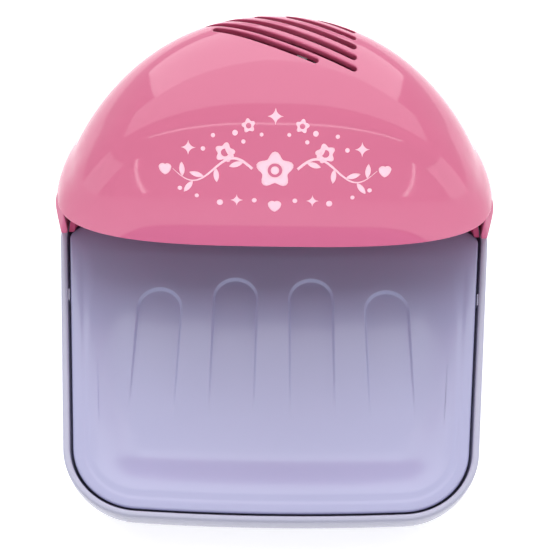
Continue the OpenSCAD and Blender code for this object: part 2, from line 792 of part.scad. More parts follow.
module scoop_form(w, low, high) {
    depth_low = tray_back - 1.45 - w;
    depth_high = scoop_top - 1.45 - w;
    in = hood_wall + liner_gap;
    side_high = (half_w - in) * swell(hood_share(ceiling_top_z, in), side_power, side_root) - w;
    loft([
        at_height(half_ring(scoop_side - w, depth_low, 24), low),
        at_height(half_ring(scoop_side - w, depth_low, 24), scoop_z),
        at_height(half_ring(side_high, depth_high, 24), ceiling_z - scoop_upright),
        at_height(half_ring(side_high, depth_high, 24), high)]);
}

module ceiling_plate() {
    w = hood_wall + liner_gap;
    ring = hood_ring(hood_share(ceiling_top_z, w), w);
    depth = scoop_top + wide_y;
    difference() {
        loft([at_height(ring, ceiling_z), at_height(ring, ceiling_top_z)]);
        translate([-body_w, depth - 4, 0]) cube([2 * body_w, body_d, crown_z]);
    }
}

module inner_liner() color([0.80, 0.36, 0.50]) difference() {
    union() {
        difference() {
            scoop_form(0, scoop_z, ceiling_top_z);
            scoop_form(liner_t, scoop_z - 1, ceiling_top_z + 1);
        }
        ceiling_plate();
        translate([0, fan_y, ceiling_top_z - tiny]) difference() {
            cylinder(h = duct_top_z - ceiling_top_z, r = duct_out_r, $fn = 96);
            translate([0, 0, -1]) cylinder(h = duct_top_z, r = duct_r, $fn = 96);
        }
        translate([0, fan_y, motor_top_z - ledge_h]) difference() {
            cylinder(h = ledge_h, r = duct_r + tiny, $fn = 96);
            translate([0, 0, -1]) cylinder(h = ledge_h + 2, r = duct_r - ledge_w, $fn = 96);
        }
    }
    translate([0, fan_y, ceiling_z - 1]) cylinder(h = liner_t + 2, r = duct_r, $fn = 96);
    for (p = liner_posts) translate([p.x, p.y, scoop_z])
        cylinder(h = ceiling_top_z - scoop_z + 1, r = liner_screw_r + 0.2);
    for (x = [-motor_tag_x, motor_tag_x])
        translate([x, fan_y + duct_r - 3, duct_hole_z])
            rotate([-90, 0, 0]) cylinder(h = 3 + duct_t + 2, r = wire_r + part_gap, $fn = 24);
}

module liner_screws() color([0.7, 0.7, 0.72])
    for (p = liner_posts) translate([p.x, p.y, ceiling_z]) difference() {
        union() {
            translate([0, 0, -screw_head_h]) cylinder(h = screw_head_h, r = liner_head_r);
            translate([0, 0, -tiny]) cylinder(h = liner_screw_l, r = liner_screw_r);
        }
        translate([0, 0, -screw_head_h]) rotate([180, 0, 0])
            cross_drive(liner_head_r * 1.23, drive_w, screw_head_h / 2);
    }

module flat_ring(r_in, r_out, h) {
    difference() {
        cylinder(h = h, r = r_out, $fn = 96);
        translate([0, 0, -1]) cylinder(h = h + 2, r = r_in, $fn = 96);
    }
}

module outlet_grille() color([0.86, 0.45, 0.58]) translate([0, fan_y, ceiling_z]) {
    flange_t = 0.9;
    collar_r = duct_r - seat_gap;
    collar_in = collar_r - grille_bar;
    gap = (collar_in - grille_hub_r - grille_rings * grille_bar) / (grille_rings + 1);
    translate([0, 0, -flange_t]) flat_ring(collar_in, duct_r + grille_flange, flange_t);
    translate([0, 0, -tiny]) flat_ring(collar_in, collar_r, 3);
    for (i = [1:grille_rings]) {
        r = grille_hub_r + i * gap + (i - 1) * grille_bar;
        translate([0, 0, -flange_t]) flat_ring(r, r + grille_bar, 1.6);
    }
    translate([0, 0, -flange_t]) cylinder(h = 1.6, r = grille_hub_r);
    for (a = [0:60:300]) rotate([0, 0, a])
        translate([grille_hub_r - 1, -grille_bar / 2, -flange_t])
            cube([collar_in - grille_hub_r + 1 + grille_bar / 3, grille_bar, 1.4]);
}

// Blade section at radius r: a lens that is pitched steeply at the hub and flatter at the tip
function blade_ring(r, turn) =
    let (share = (r - hub_r) / (fan_r - hub_r),
         sweep_angle = 40 - 4 * share,
         low = 0.4, high = fan_h - 0.4 - 1.6 * share, thick = 1.3 - 0.4 * share)
    [for (k = [0:9])
        let (s = k < 5 ? k / 4 : (9 - k) / 4,
             up = k < 5 ? -1 : 1,
             a = turn + sweep_angle * (s - 0.5),
             z = low + (high - low) * s + up * thick * (0.25 + sin(180 * s) * 0.25))
        [r * cos(a), r * sin(a), z]];

module fan_impeller() color([0.93, 0.93, 0.95]) translate([0, fan_y, fan_z]) difference() {
    union() {
        cylinder(h = fan_h - 1, r = hub_r);
        translate([0, 0, fan_h - 1 - tiny]) cylinder(h = 1, r1 = hub_r, r2 = hub_r - 1);
        for (i = [0:blade_count - 1])
            loft([for (r = [hub_r - 0.6, hub_r + 4, (hub_r + fan_r) / 2 + 1, fan_r])
                blade_ring(r, 360 * i / blade_count)]);
    }
    translate([0, 0, -1]) cylinder(h = fan_h + 2, r = shaft_r);
}

module motor_shaft() color([0.8, 0.8, 0.82])
    translate([0, fan_y, motor_z + 1]) cylinder(h = fan_z + fan_h - motor_z - 1.4, r = shaft_r);

module motor_can() color([0.72, 0.73, 0.75]) translate([0, fan_y, motor_z]) difference() {
    union() {
        rotate_extrude($fn = 96) polygon([
            [0, 0.9], [motor_r, 0.9], [motor_r, motor_h - 0.8], [motor_r - 0.8, motor_h], [0, motor_h]]);
        translate([0, 0, motor_h - tiny]) cylinder(h = bearing_h, r = bearing_r);
    }
    translate([0, 0, -1]) cylinder(h = motor_h + 4, r = shaft_r + 0.05);
    for (x = [-motor_screw_x, motor_screw_x])
        translate([x, 0, motor_h - 2.2]) cylinder(h = 3, r = liner_screw_r + screw_fit);
}

module motor_end_cap() color([0.2, 0.2, 0.22]) translate([0, fan_y, motor_z]) difference() {
    union() {
        cylinder(h = 0.9, r = motor_r - 0.8);
        for (x = [-motor_tag_x, motor_tag_x])
            translate([x - 1.2, motor_tag_end - 4, 0]) cube([2.4, 4, motor_tag_t]);
    }
    translate([0, 0, 0.5]) cylinder(h = 1, r = 3);
}

module motor_bracket() color([0.86, 0.86, 0.88]) translate([0, fan_y, motor_top_z]) {
    ring_out = duct_r - seat_gap;
    difference() {
        union() {
            cylinder(h = bracket_t, r = motor_r - 1);
            flat_ring(duct_r - ledge_w - 0.2, ring_out, bracket_t);
            for (a = [30, 150, 270]) rotate([0, 0, a])
                translate([motor_r - 2, -2, 0]) cube([ring_out - motor_r + 1.2, 4, bracket_t]);
        }
        translate([0, 0, -1]) cylinder(h = bracket_t + 2, r = bearing_r + seat_gap);
        for (x = [-motor_screw_x, motor_screw_x])
            translate([x, 0, -1]) cylinder(h = bracket_t + 2, r = liner_screw_r + 0.2);
    }
}

module motor_screws() color([0.7, 0.7, 0.72])
    for (x = [-motor_screw_x, motor_screw_x]) translate([x, fan_y, bracket_top_z]) difference() {
        union() {
            cylinder(h = motor_head_h, r = motor_head_r);
            translate([0, 0, -bracket_t - 1.8]) cylinder(h = bracket_t + 2, r = liner_screw_r);
        }
        translate([0, 0, motor_head_h]) cross_drive(motor_head_r * 1.23, drive_w, motor_head_h / 2);
    }

// ---------------------------------------------------------------- batteries

module battery_door() color([0.72, 0.72, 0.85]) difference() {
    x = bay_half_x - door_gap;
    y0 = tongue_y + door_gap;
    y1 = bay_y + bay_half_y - door_gap;
    union() {
        translate([-x, y0, base_z]) cube([2 * x, y1 - y0, door_t]);
        both_sides() {
            translate([tongue_x - tongue_w / 2, y0, base_z + tiny])
                cube([tongue_w, 1.4, floor_z + seat_gap + tongue_t - base_z]);
            translate([tongue_x - tongue_w / 2, y0 - tongue_l, floor_z + seat_gap])
                cube([tongue_w, tongue_l + 1.4, tongue_t]);
        }
    }
    for (i = [0:4])
        translate([0, bay_y + 4 + i * 1.6, base_z - 19.4])
            rotate([0, 90, 0]) cylinder(h = 14, r = 20, center = true, $fn = 96);
}

module cell(flip) {
    rotate([0, flip ? -90 : 90, 0]) translate([0, 0, -cell_l / 2]) {
        rotate_extrude() polygon([
            [0, 0], [cell_r - 0.5, 0], [cell_r, 0.5], [cell_r, cell_l - nub_h - 0.8],
            [cell_r - 0.8, cell_l - nub_h], [1.9, cell_l - nub_h], [1.9, cell_l], [0, cell_l]]);
    }
}

module battery_front() color([0.30, 0.32, 0.36])
    translate([-contact_room / 2, front_cell_y, cell_z]) cell(true);
module battery_rear() color([0.30, 0.32, 0.36])
    translate([contact_room / 2, rear_cell_y, cell_z]) cell(false);

module contact_leaf(y, with_tag) {
    h = cell_d - 2.4;
    translate([contact_back_x, y - h / 2, cell_z - h / 2]) cube([contact_t, h, h]);
    if (with_tag) translate([contact_back_x, y - tag_w / 2, tag_z])
        cube([tag_out + contact_t, tag_w, tag_t]);
}

module contact_dome(y) {
    translate([nub_x + seat_gap, y, cell_z]) rotate([0, 90, 0])
        cylinder(h = contact_back_x - nub_x, r1 = 1.6, r2 = 2.6);
}

module contact_coil(y) {
    wire = 0.3;
    low = 0;
    high = contact_back_x - coil_end_x - 2 * seat_gap;
    path = coil_path(3.6, 2.4, low, high + wire, 3, wire);
    echo(contact_coil_gap = coil_gap(path, wire));
    translate([contact_back_x + wire / 2, y, cell_z]) rotate([0, -90, 0]) sweep(path, wire, 6);
}

module contact_plate() color([0.78, 0.76, 0.70]) {
    contact_leaf(rear_cell_y, true);
    contact_dome(rear_cell_y);
}

module contact_spring() color([0.78, 0.76, 0.70]) {
    contact_leaf(front_cell_y, true);
    contact_coil(front_cell_y);
}

module contact_bridge() color([0.78, 0.76, 0.70]) mirror([1, 0, 0]) {
    contact_leaf(front_cell_y, false);
    contact_leaf(rear_cell_y, false);
    translate([contact_back_x, front_cell_y, cell_z - 1.5]) cube([contact_t, cell_pitch, 3]);
    contact_dome(front_cell_y);
    contact_coil(rear_cell_y);
}

// ---------------------------------------------------------------- switch

module switch_body() color([0.15, 0.15, 0.17]) difference() {
    translate([-switch_w / 2, switch_y - switch_d / 2, switch_z]) cube([switch_w, switch_d, switch_h]);
    translate([0, switch_y, plunger_low_z - switch_travel - switch_spare])
        cylinder(h = switch_h, r = plunger_r + plunger_fit);
    switch_holes(switch_screw_r + 0.3, switch_y - switch_d / 2 - 1, switch_d + 2);
}

module switch_plunger() color([0.85, 0.2, 0.2])
    translate([0, switch_y, plunger_low_z]) {
        cylinder(h = plunger_top_z - plunger_low_z - 0.3, r = plunger_r);
        translate([0, 0, plunger_top_z - plunger_low_z - 0.3 - tiny])
            cylinder(h = 0.3, r1 = plunger_r, r2 = plunger_r - 0.3);
    }

module switch_terminals() color([0.80, 0.72, 0.45])
    both_sides() translate([switch_w / 2, switch_y - 1, switch_z + 1.2]) cube([terminal_l, tag_w - 1, tag_t]);

module switch_screws() color([0.7, 0.7, 0.72]) {
    switch_holes(switch_screw_r, switch_y - switch_d / 2 - tiny, switch_d + seat_gap + switch_wall_t - 0.4);
    switch_holes(1.6, switch_y - switch_d / 2 - 1.2, 1.2);
}

// ---------------------------------------------------------------- wires

// Smooth path through points, with one more point in the middle of each span
function smooth_path(p) = let (n = len(p)) concat(
    [for (i = [0:n - 2], s = [0, 0.5])
        let (a = p[max(i - 1, 0)], b = p[i], c = p[i + 1], d = p[min(i + 2, n - 1)])
        b + s / 2 * (c - a) + s * s * (a - 2.5 * b + 2 * c - d / 2)
            + s * s * s * (1.5 * (b - c) + (d - a) / 2)],
    [p[n - 1]]);

function heading(p, i) =
    let (d = p[min(i + 1, len(p) - 1)] - p[max(i - 1, 0)]) d / norm(d);

// Sideways direction at each point of a path, carried along it without twist
function carried(p, i, last) = i == len(p) ? [] :
    let (t = heading(p, i), u = last - (last * t) * t)
    concat([u / norm(u)], carried(p, i + 1, u / norm(u)));

module wire(points) {
    path = smooth_path(points);
    sideways = carried(path, 0, [0.3, 0.2, 1]);
    loft([for (i = [0:len(path) - 1])
        let (t = heading(path, i), u = sideways[i], v = cross(t, u))
        [for (a = [0:60:300]) path[i] + wire_r * (cos(a) * u + sin(a) * v)]]);
}

// Way up behind the lining and through the duct wall to a motor tag, on the right
function motor_rise() =
    let (top = duct_hole_z, x = motor_tag_x, y = fan_y + duct_out_r)
    [[30, bay_y + 21, floor_wire_z + 1], [16, wide_y + 36.25, floor_wire_z + 2.4],
     [8, wide_y + 39.75, 12], [x + 0.6, back_y - 5.5, 22], [x, back_y - 4.5, 34],
     [x, back_y - 4.5, top - 5], [x, back_y - 5, top - 2], [x, y + 2.4, top - 0.3],
     [x, y, top], [x, y - 3.8, top], [x, fan_y + motor_tag_end + 1, motor_z + motor_tag_t + 1.2],
     [x, fan_y + motor_tag_end - 1.1, motor_z + motor_tag_t + wire_r + seat_gap]];

// From a switch terminal out to the floor beside the battery bay, on the right
function switch_run() =
    let (z = switch_z + 1.2 + tag_t + wire_r + seat_gap, x = switch_w / 2)
    [[x + 0.4, switch_y, z], [x + terminal_l + 0.3, switch_y, z],
     [x + terminal_l + 4, switch_y, floor_wire_z + 0.4], [24, switch_y + 11, floor_wire_z],
     [bay_half_x + 4.2, bay_y - 16, floor_wire_z]];

function mirrored(points) = [for (p = points) [-p.x, p.y, p.z]];
function reversed(points) = [for (i = [len(points) - 1:-1:0]) points[i]];

// Positive cell contact to the switch
module wire_battery() color([0.78, 0.12, 0.12]) wire(concat(
    [[bay_half_x + bay_wall + 0.6, rear_cell_y, tag_wire_z], [tag_end_x + 0.2, rear_cell_y, tag_wire_z],
     [tag_end_x + 1.2, rear_cell_y - 0.2, tag_z - 1], [tag_end_x + 0.7, rear_cell_y - 1.5, 6.5],
     [tag_end_x + 0.6, rear_cell_y - 4.5, floor_wire_z], [tag_end_x + 0.6, bay_y - 5, floor_wire_z]],
    reversed(switch_run())));

// Switch to one motor tag
module wire_switch() color([0.78, 0.12, 0.12]) wire(mirrored(concat(
    switch_run(),
    [[bay_half_x + 3.2, bay_y, floor_wire_z], [bay_half_x + 2.5, bay_y + 12, floor_wire_z]],
    motor_rise())));

// Negative cell contact to the other motor tag
module wire_motor() color([0.12, 0.12, 0.13]) wire(concat(
    [[bay_half_x + bay_wall + 0.6, front_cell_y, tag_wire_z], [tag_end_x + 0.2, front_cell_y, tag_wire_z],
     [tag_end_x + 1.1, front_cell_y + 0.4, tag_z - 1], [tag_end_x - 0.9, front_cell_y + 2.5, 6.5],
     [bay_half_x + 2.5, bay_y, floor_wire_z], [bay_half_x + 2.5, bay_y + 12, floor_wire_z]],
    motor_rise()));

base_shell();
press_tray();
hood_shell();
inner_liner();
outlet_grille();
fan_impeller();
motor_shaft();
motor_can();
motor_end_cap();
motor_bracket();
motor_screws();
liner_screws();
case_screws();
battery_door();
battery_front();
battery_rear();
contact_bridge();
contact_spring();
contact_plate();
switch_body();
switch_plunger();
switch_terminals();
switch_screws();
tray_spring_left();
tray_spring_right();
rubber_feet();
wire_battery();
wire_switch();
wire_motor();
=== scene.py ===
"""Looks of a battery fan dryer for finger nails: a slotted dome over a sprung, grooved tray.

Sizes in the classes are millimetres in the part's own frame: +Z up, the finger side towards -Y,
the origin on the table. Meshes are made in metres.
"""
import json
import logging
import math
from collections.abc import Callable, Sequence
from dataclasses import dataclass, field
from enum import Enum

import bmesh
import bpy
import numpy as np
from mathutils import Matrix, Vector
from mathutils.geometry import delaunay_2d_cdt


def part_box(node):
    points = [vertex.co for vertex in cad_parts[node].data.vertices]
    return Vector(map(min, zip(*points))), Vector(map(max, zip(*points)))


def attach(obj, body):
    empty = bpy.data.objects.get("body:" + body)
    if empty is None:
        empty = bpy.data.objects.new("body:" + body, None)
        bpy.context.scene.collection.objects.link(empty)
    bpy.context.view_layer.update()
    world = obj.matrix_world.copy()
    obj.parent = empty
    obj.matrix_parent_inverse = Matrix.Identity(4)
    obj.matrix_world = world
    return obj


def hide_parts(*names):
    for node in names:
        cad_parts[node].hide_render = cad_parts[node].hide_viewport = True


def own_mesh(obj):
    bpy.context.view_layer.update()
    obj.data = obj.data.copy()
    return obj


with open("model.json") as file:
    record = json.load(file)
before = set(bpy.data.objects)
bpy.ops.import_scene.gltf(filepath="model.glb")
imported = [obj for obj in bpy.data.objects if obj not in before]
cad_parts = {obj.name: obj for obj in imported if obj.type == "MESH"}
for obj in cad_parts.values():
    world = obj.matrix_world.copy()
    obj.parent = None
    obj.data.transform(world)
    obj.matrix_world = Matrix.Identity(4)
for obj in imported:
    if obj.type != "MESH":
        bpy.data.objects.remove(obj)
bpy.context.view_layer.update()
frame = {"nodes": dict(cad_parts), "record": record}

MM = 0.001
MERGE = 1e-7  # metres between points that are one
CAD_MERGE = 2e-7  # the same in a CAD node's loose triangles
FLAT = 0.3  # degrees between a CAD node's triangles that are one face
TINY = 1e-12  # keeps a division by nothing away
ROW_SHARE = 0.866  # height of a triangle whose sides are 1
HALVINGS = 36  # steps of the search for a form's surface
Array = np.ndarray
Colour = tuple[float, float, float]
Group = tuple[bpy.types.NodeTree, bpy.types.NodeOutputs, bpy.types.NodeInputs]
log = logging.getLogger("nail_dryer")


class Body(Enum):
    """The bodies that a piece can ride on."""

    HOUSING = "housing"
    TRAY = "tray"
    FAN = "fan"
    BUTTON = "button"
    DOOR = "door"


# ---------------------------------------------------------------- meshes


@dataclass
class Skin:
    """Points and faces, in millimetres, that grow into one mesh."""

    points: list[Array] = field(default_factory=list)
    faces: list[list[int]] = field(default_factory=list)
    count: int = 0

    def add(self, points: Array) -> Array:
        """Adds points.

        Args:
            points: Any grid of points, its last axis x, y and z.

        Returns:
            The points' numbers, in the shape of the grid.
        """
        flat = np.asarray(points, float).reshape(-1, 3)
        numbers = np.arange(self.count, self.count + len(flat)).reshape(points.shape[:-1])
        self.points.append(flat)
        self.count += len(flat)
        return numbers

    def grid(self, rows: Array, closed: bool = False) -> None:
        """Adds the four-sided faces between neighbouring rows and columns.

        Args:
            rows: Point numbers, one row after another.
            closed: Whether the last column joins the first.
        """
        if closed:
            rows = np.concatenate([rows, rows[:, :1]], axis=1)
        a, b, c, d = rows[:-1, :-1], rows[:-1, 1:], rows[1:, 1:], rows[1:, :-1]
        self.faces += np.stack([a, b, c, d], -1).reshape(-1, 4).tolist()

    def fan(self, ring: Array) -> None:
        """Closes a ring of point numbers with one face."""
        self.faces.append(ring.tolist())

    def mesh(self, name: str) -> bpy.types.Mesh:
        """Makes the mesh.

        Args:
            name: Its name.

        Returns:
            The points and faces as a mesh in metres.
        """
        mesh = bpy.data.meshes.new(name)
        mesh.from_pydata(np.concatenate(self.points) * MM, [], self.faces)
        return mesh

    def build(self, name: str, outward: bool = True, sharp: float = 38.0) -> bpy.types.Object:
        """Makes the object.

        Args:
            name: Name of the piece.
            outward: Whether the faces are turned outwards, which needs a closed skin.
            sharp: Edges sharper than this angle, in degrees, stay crisp.

        Returns:
            The object, at the origin.
        """
        return finished(self.mesh(name), name, outward, sharp)


def finished(mesh: bpy.types.Mesh, name: str, outward: bool, sharp: float) -> bpy.types.Object:
    """Turns the faces outwards, shades them smooth and links the piece.

    Args:
        mesh: The mesh, in metres.
        name: Name of the piece.
        outward: Whether the faces are turned outwards.
        sharp: Edges sharper than this angle, in degrees, stay crisp.

    Returns:
        The new object.
    """
    shape = bmesh.new()
    shape.from_mesh(mesh)
    bmesh.ops.remove_doubles(shape, verts=shape.verts, dist=MERGE)
    if outward:
        bmesh.ops.recalc_face_normals(shape, faces=shape.faces)
    shape.to_mesh(mesh)
    shape.free()
    mesh.polygons.foreach_set("use_smooth", np.ones(len(mesh.polygons), bool))
    mesh.set_sharp_from_angle(angle=math.radians(sharp))
    piece = bpy.data.objects.new(name, mesh)
    bpy.context.scene.collection.objects.link(piece)
    return piece


def cad_copy(node: str, name: str, keep: Callable[[Array], Array] | None = None,
             sharp: float = 32.0) -> bpy.types.Object:
    """Copies a CAD node's mesh, with its doubles merged and its flat triangles joined.

    Args:
        node: The CAD node.
        name: Name of the copy.
        keep: Takes the faces' corners in millimetres, as faces by corners by 3, and says
            which faces stay.
        sharp: Edges sharper than this angle, in degrees, stay crisp.

    Returns:
        The new object.
    """
    mesh = frame["nodes"][node].data.copy()
    mesh.materials.clear()
    shape = bmesh.new()
    shape.from_mesh(mesh)
    if keep is not None:
        corners = np.array([[v.co for v in f.verts] for f in shape.faces]) / MM
        stays = keep(corners)
        lost = [f for f, s in zip(list(shape.faces), stays) if not s]
        bmesh.ops.delete(shape, geom=lost, context="FACES")
    bmesh.ops.remove_doubles(shape, verts=shape.verts, dist=CAD_MERGE)
    bmesh.ops.dissolve_limit(shape, angle_limit=math.radians(FLAT), verts=shape.verts,
                             edges=shape.edges)
    shape.to_mesh(mesh)
    shape.free()
    return finished(mesh, name, False, sharp)


def rounded(piece: bpy.types.Object, width: float, angle: float | None = None,
            steps: int = 2) -> bpy.types.Object:
    """Rounds a piece's edges.

    Args:
        piece: The piece.
        width: Width of the rounding in millimetres.
        angle: Edges sharper than this angle, in degrees, are rounded, or where it is None
            the edges that have a bevel weight.
        steps: Segments of the rounding.

    Returns:
        The piece.
    """
    bevel = piece.modifiers.new("rounding", "BEVEL")
    bevel.width = width * MM
    bevel.segments = steps
    bevel.harden_normals = True
    bevel.limit_method = "WEIGHT" if angle is None else "ANGLE"
    if angle is not None:
        bevel.angle_limit = math.radians(angle)
    return piece


def face_data(mesh: bpy.types.Mesh) -> tuple[Array, Array]:
    """Reads a mesh's faces.

    Args:
        mesh: The mesh, in metres.

    Returns:
        The faces' centres in millimetres and their unit normals, each n by 3.
    """
    centres, normals = np.zeros(len(mesh.polygons) * 3), np.zeros(len(mesh.polygons) * 3)
    mesh.polygons.foreach_get("center", centres)
    mesh.polygons.foreach_get("normal", normals)
    return centres.reshape(-1, 3) / MM, normals.reshape(-1, 3)


def edge_keys(ends: Array, count: int) -> Array:
    """One number for each edge, n by 2: its least end times count, plus the other."""
    return np.sort(ends, axis=1) @ [count, 1]


def second_finish(piece: bpy.types.Object, chosen: Array) -> bpy.types.Object:
    """Gives the chosen faces, one truth value each, the piece's second material."""
    piece.data.polygons.foreach_set("material_index", chosen.astype(np.int32))
    return piece


def inside(points: Array, loop: Array) -> Array:
    """Says which points lie in a closed loop, by counting crossings.

    Args:
        points: Points as n by 2.
        loop: The loop as m by 2.

    Returns:
        A truth value for each point.
    """
    a, b = loop, np.roll(loop, -1, axis=0)
    px, py = points[:, :1], points[:, 1:]
    above = (a[:, 1] > py) != (b[:, 1] > py)
    rise = b[:, 1] - a[:, 1]
    rise = np.where(np.abs(rise) < TINY, TINY, rise)
    cross = a[:, 0] + (py - a[:, 1]) * (b[:, 0] - a[:, 0]) / rise
    return ((above & (px < cross)).sum(1) % 2).astype(bool)


def gap_to_lines(points: Array, lines: Sequence[Array], closed: bool) -> Array:
    """Distance from each point to the nearest of several polylines, in plan.

    Args:
        points: Points as n by 2.
        lines: Polylines, each m by 2.
        closed: Whether each polyline joins its own ends.

    Returns:
        One distance for each point.
    """
    best = np.full(len(points), np.inf)
    for line in lines:
        a = line if closed else line[:-1]
        b = np.roll(line, -1, axis=0) if closed else line[1:]
        run = b - a
        share = ((points[:, None] - a) * run).sum(-1) / np.maximum((run * run).sum(-1), TINY)
        near = a + np.clip(share, 0, 1)[..., None] * run
        best = np.minimum(best, np.linalg.norm(points[:, None] - near, axis=-1).min(1))
    return best


def plan_fill(outer: Array, holes: Sequence[Array], lines: Sequence[Array],
              step: float) -> tuple[Array, Array]:
    """Fills a plan outline with even triangles.

    The points are the loops' own, the lines' own and a staggered grid that keeps half a step
    away from both. A triangle stays where its centre is in the outline and in no hole.

    Args:
        outer: Outline, n by 2.
        holes: Closed loops that stay open.
        lines: Open polylines that edges follow.
        step: Distance between the grid's points.

    Returns:
        The points, in the order outer, holes, lines, grid, and the triangles as numbers.
    """
    loops = [outer, *holes]
    low, high = outer.min(0), outer.max(0)
    xs, ys = np.meshgrid(np.arange(low[0], high[0], step),
                         np.arange(low[1], high[1], step * ROW_SHARE))
    xs = xs + (np.arange(len(ys))[:, None] % 2) * step / 2
    seeds = np.stack([xs, ys], -1).reshape(-1, 2)
    seeds = seeds[inside(seeds, outer)]
    clear = step * 0.5
    seeds = seeds[gap_to_lines(seeds, loops, True) > clear]
    if lines:
        seeds = seeds[gap_to_lines(seeds, lines, False) > clear]
    points = np.concatenate([*loops, *lines, seeds])
    edges, start = [], 0
    for loop in loops:
        ids = start + np.arange(len(loop))
        edges.append(np.stack([ids, np.roll(ids, -1)], -1))
        start += len(loop)
    for line in lines:
        ids = start + np.arange(len(line))
        edges.append(np.stack([ids[:-1], ids[1:]], -1))
        start += len(line)
    output_type, epsilon = 0, 1e-6
    _, _, faces, origins, _, _ = delaunay_2d_cdt(
        [Vector(p) for p in points], np.concatenate(edges).tolist(), [], output_type, epsilon)
    triangles = np.array([origin[0] for origin in origins])[np.array(faces)]
    centres = points[triangles].mean(1)
    stays = inside(centres, outer)
    for hole in holes:
        stays &= ~inside(centres, hole)
    return points, triangles[stays]


def smooth_step(x: Array) -> Array:
    """Goes from 0 to 1 with level ends: three x squared less two x cubed."""
    x = np.clip(x, 0.0, 1.0)
    return x * x * (3 - 2 * x)


# ---------------------------------------------------------------- forms that pieces share


@dataclass(frozen=True)
class BaseOutline:
    """The base seen from above.

    It is half an ellipse behind, has straight sides and round corners, and bows in front. Its
    wall comes in downwards like a bowl.
    """

    half_w: float = 66.0
    front_y: float = -71.0
    wide_y: float = 23.25
    wide_back: float = 47.75
    corner_r: float = 23.0
    side_angle: float = 4.7
    bow_r: float = 684.0
    rim_z: float = 18.0
    base_z: float = 1.5
    floor_z: float = 3.5
    wall: float = 2.0
    bowl_in: float = 12.0
    bowl_round: float = 0.96
    inner_lag: float = 0.35
    rear_points: int = 97
    side_points: int = 26
    corner_points: int = 22
    front_points: int = 30

    def corner(self) -> tuple[float, float, float, float]:
        """Finds the round corner between the right side and the front bow.

        The corner's centre runs along the side, corner_r inside it, until it is bow_r less
        corner_r from the bow's centre.

        Returns:
            The corner's centre as x and y, the y of the bow's centre, and half the bow's angle.
        """
        s = math.radians(self.side_angle)
        bow_y = self.front_y + self.bow_r
        inward = self.corner_r * np.array([math.cos(s), -math.sin(s)])
        start = np.array([self.half_w, self.wide_y]) - inward - [0, bow_y]
        run = np.array([-math.sin(s), -math.cos(s)])
        b = start @ run
        along = -b + math.sqrt(b * b - start @ start + (self.bow_r - self.corner_r) ** 2)
        cx, cy = start + along * run + [0, bow_y]
        return cx, cy, bow_y, math.atan2(cx, bow_y - cy)

    def rings(self, off: Array, depth: float) -> Array:
        """Outlines drawn in by off.

        The back is the ellipse of angle a, (half width - off) cos a wide and (depth - off) sin a
        deep; the corners and the front are arcs whose radii shrink by off.

        Args:
            off: How far each ring is drawn in.
            depth: Reach of the back behind the widest line.

        Returns:
            Rings by points by 2.
        """
        off = np.atleast_1d(np.asarray(off, float))[:, None]
        cx, cy, bow_y, bow = self.corner()
        s = math.radians(self.side_angle)
        a = np.linspace(0, math.pi, self.rear_points)
        rear = np.stack([(self.half_w - off) * np.cos(a),
                         self.wide_y + (depth - off) * np.sin(a)], -1)
        r, front_r = self.corner_r - off, self.bow_r - off
        a = np.linspace(math.pi + s, 1.5 * math.pi - bow, self.corner_points)
        left = np.stack([r * np.cos(a) - cx, r * np.sin(a) + cy], -1)
        a = np.linspace(1.5 * math.pi - bow, 1.5 * math.pi + bow, self.front_points)[1:-1]
        front = np.stack([front_r * np.cos(a), bow_y + front_r * np.sin(a)], -1)
        right = left[:, ::-1] * [-1, 1]
        share = np.linspace(0, 1, self.side_points)[1:-1][:, None]
        left_side = rear[:, -1:] + (left[:, :1] - rear[:, -1:]) * share
        right_side = left_side[:, ::-1] * [-1, 1]
        return np.concatenate([rear, left_side, left, front, right, right_side], axis=1)

    def bowl_off(self, z: Array) -> Array:
        """How far the bowl has come in at height z: most of a quarter ellipse under the rim."""
        share = (self.rim_z - z) / (self.rim_z - self.base_z)
        return self.bowl_in * (1 - np.sqrt(np.maximum(0, 1 - self.bowl_round * share * share)))

    def inner_off(self, z: Array) -> Array:
        """The same for the wall's inner face, which has the outer one's form a little lower."""
        return self.wall + self.bowl_off(np.maximum(self.base_z, z - self.inner_lag * self.wall))


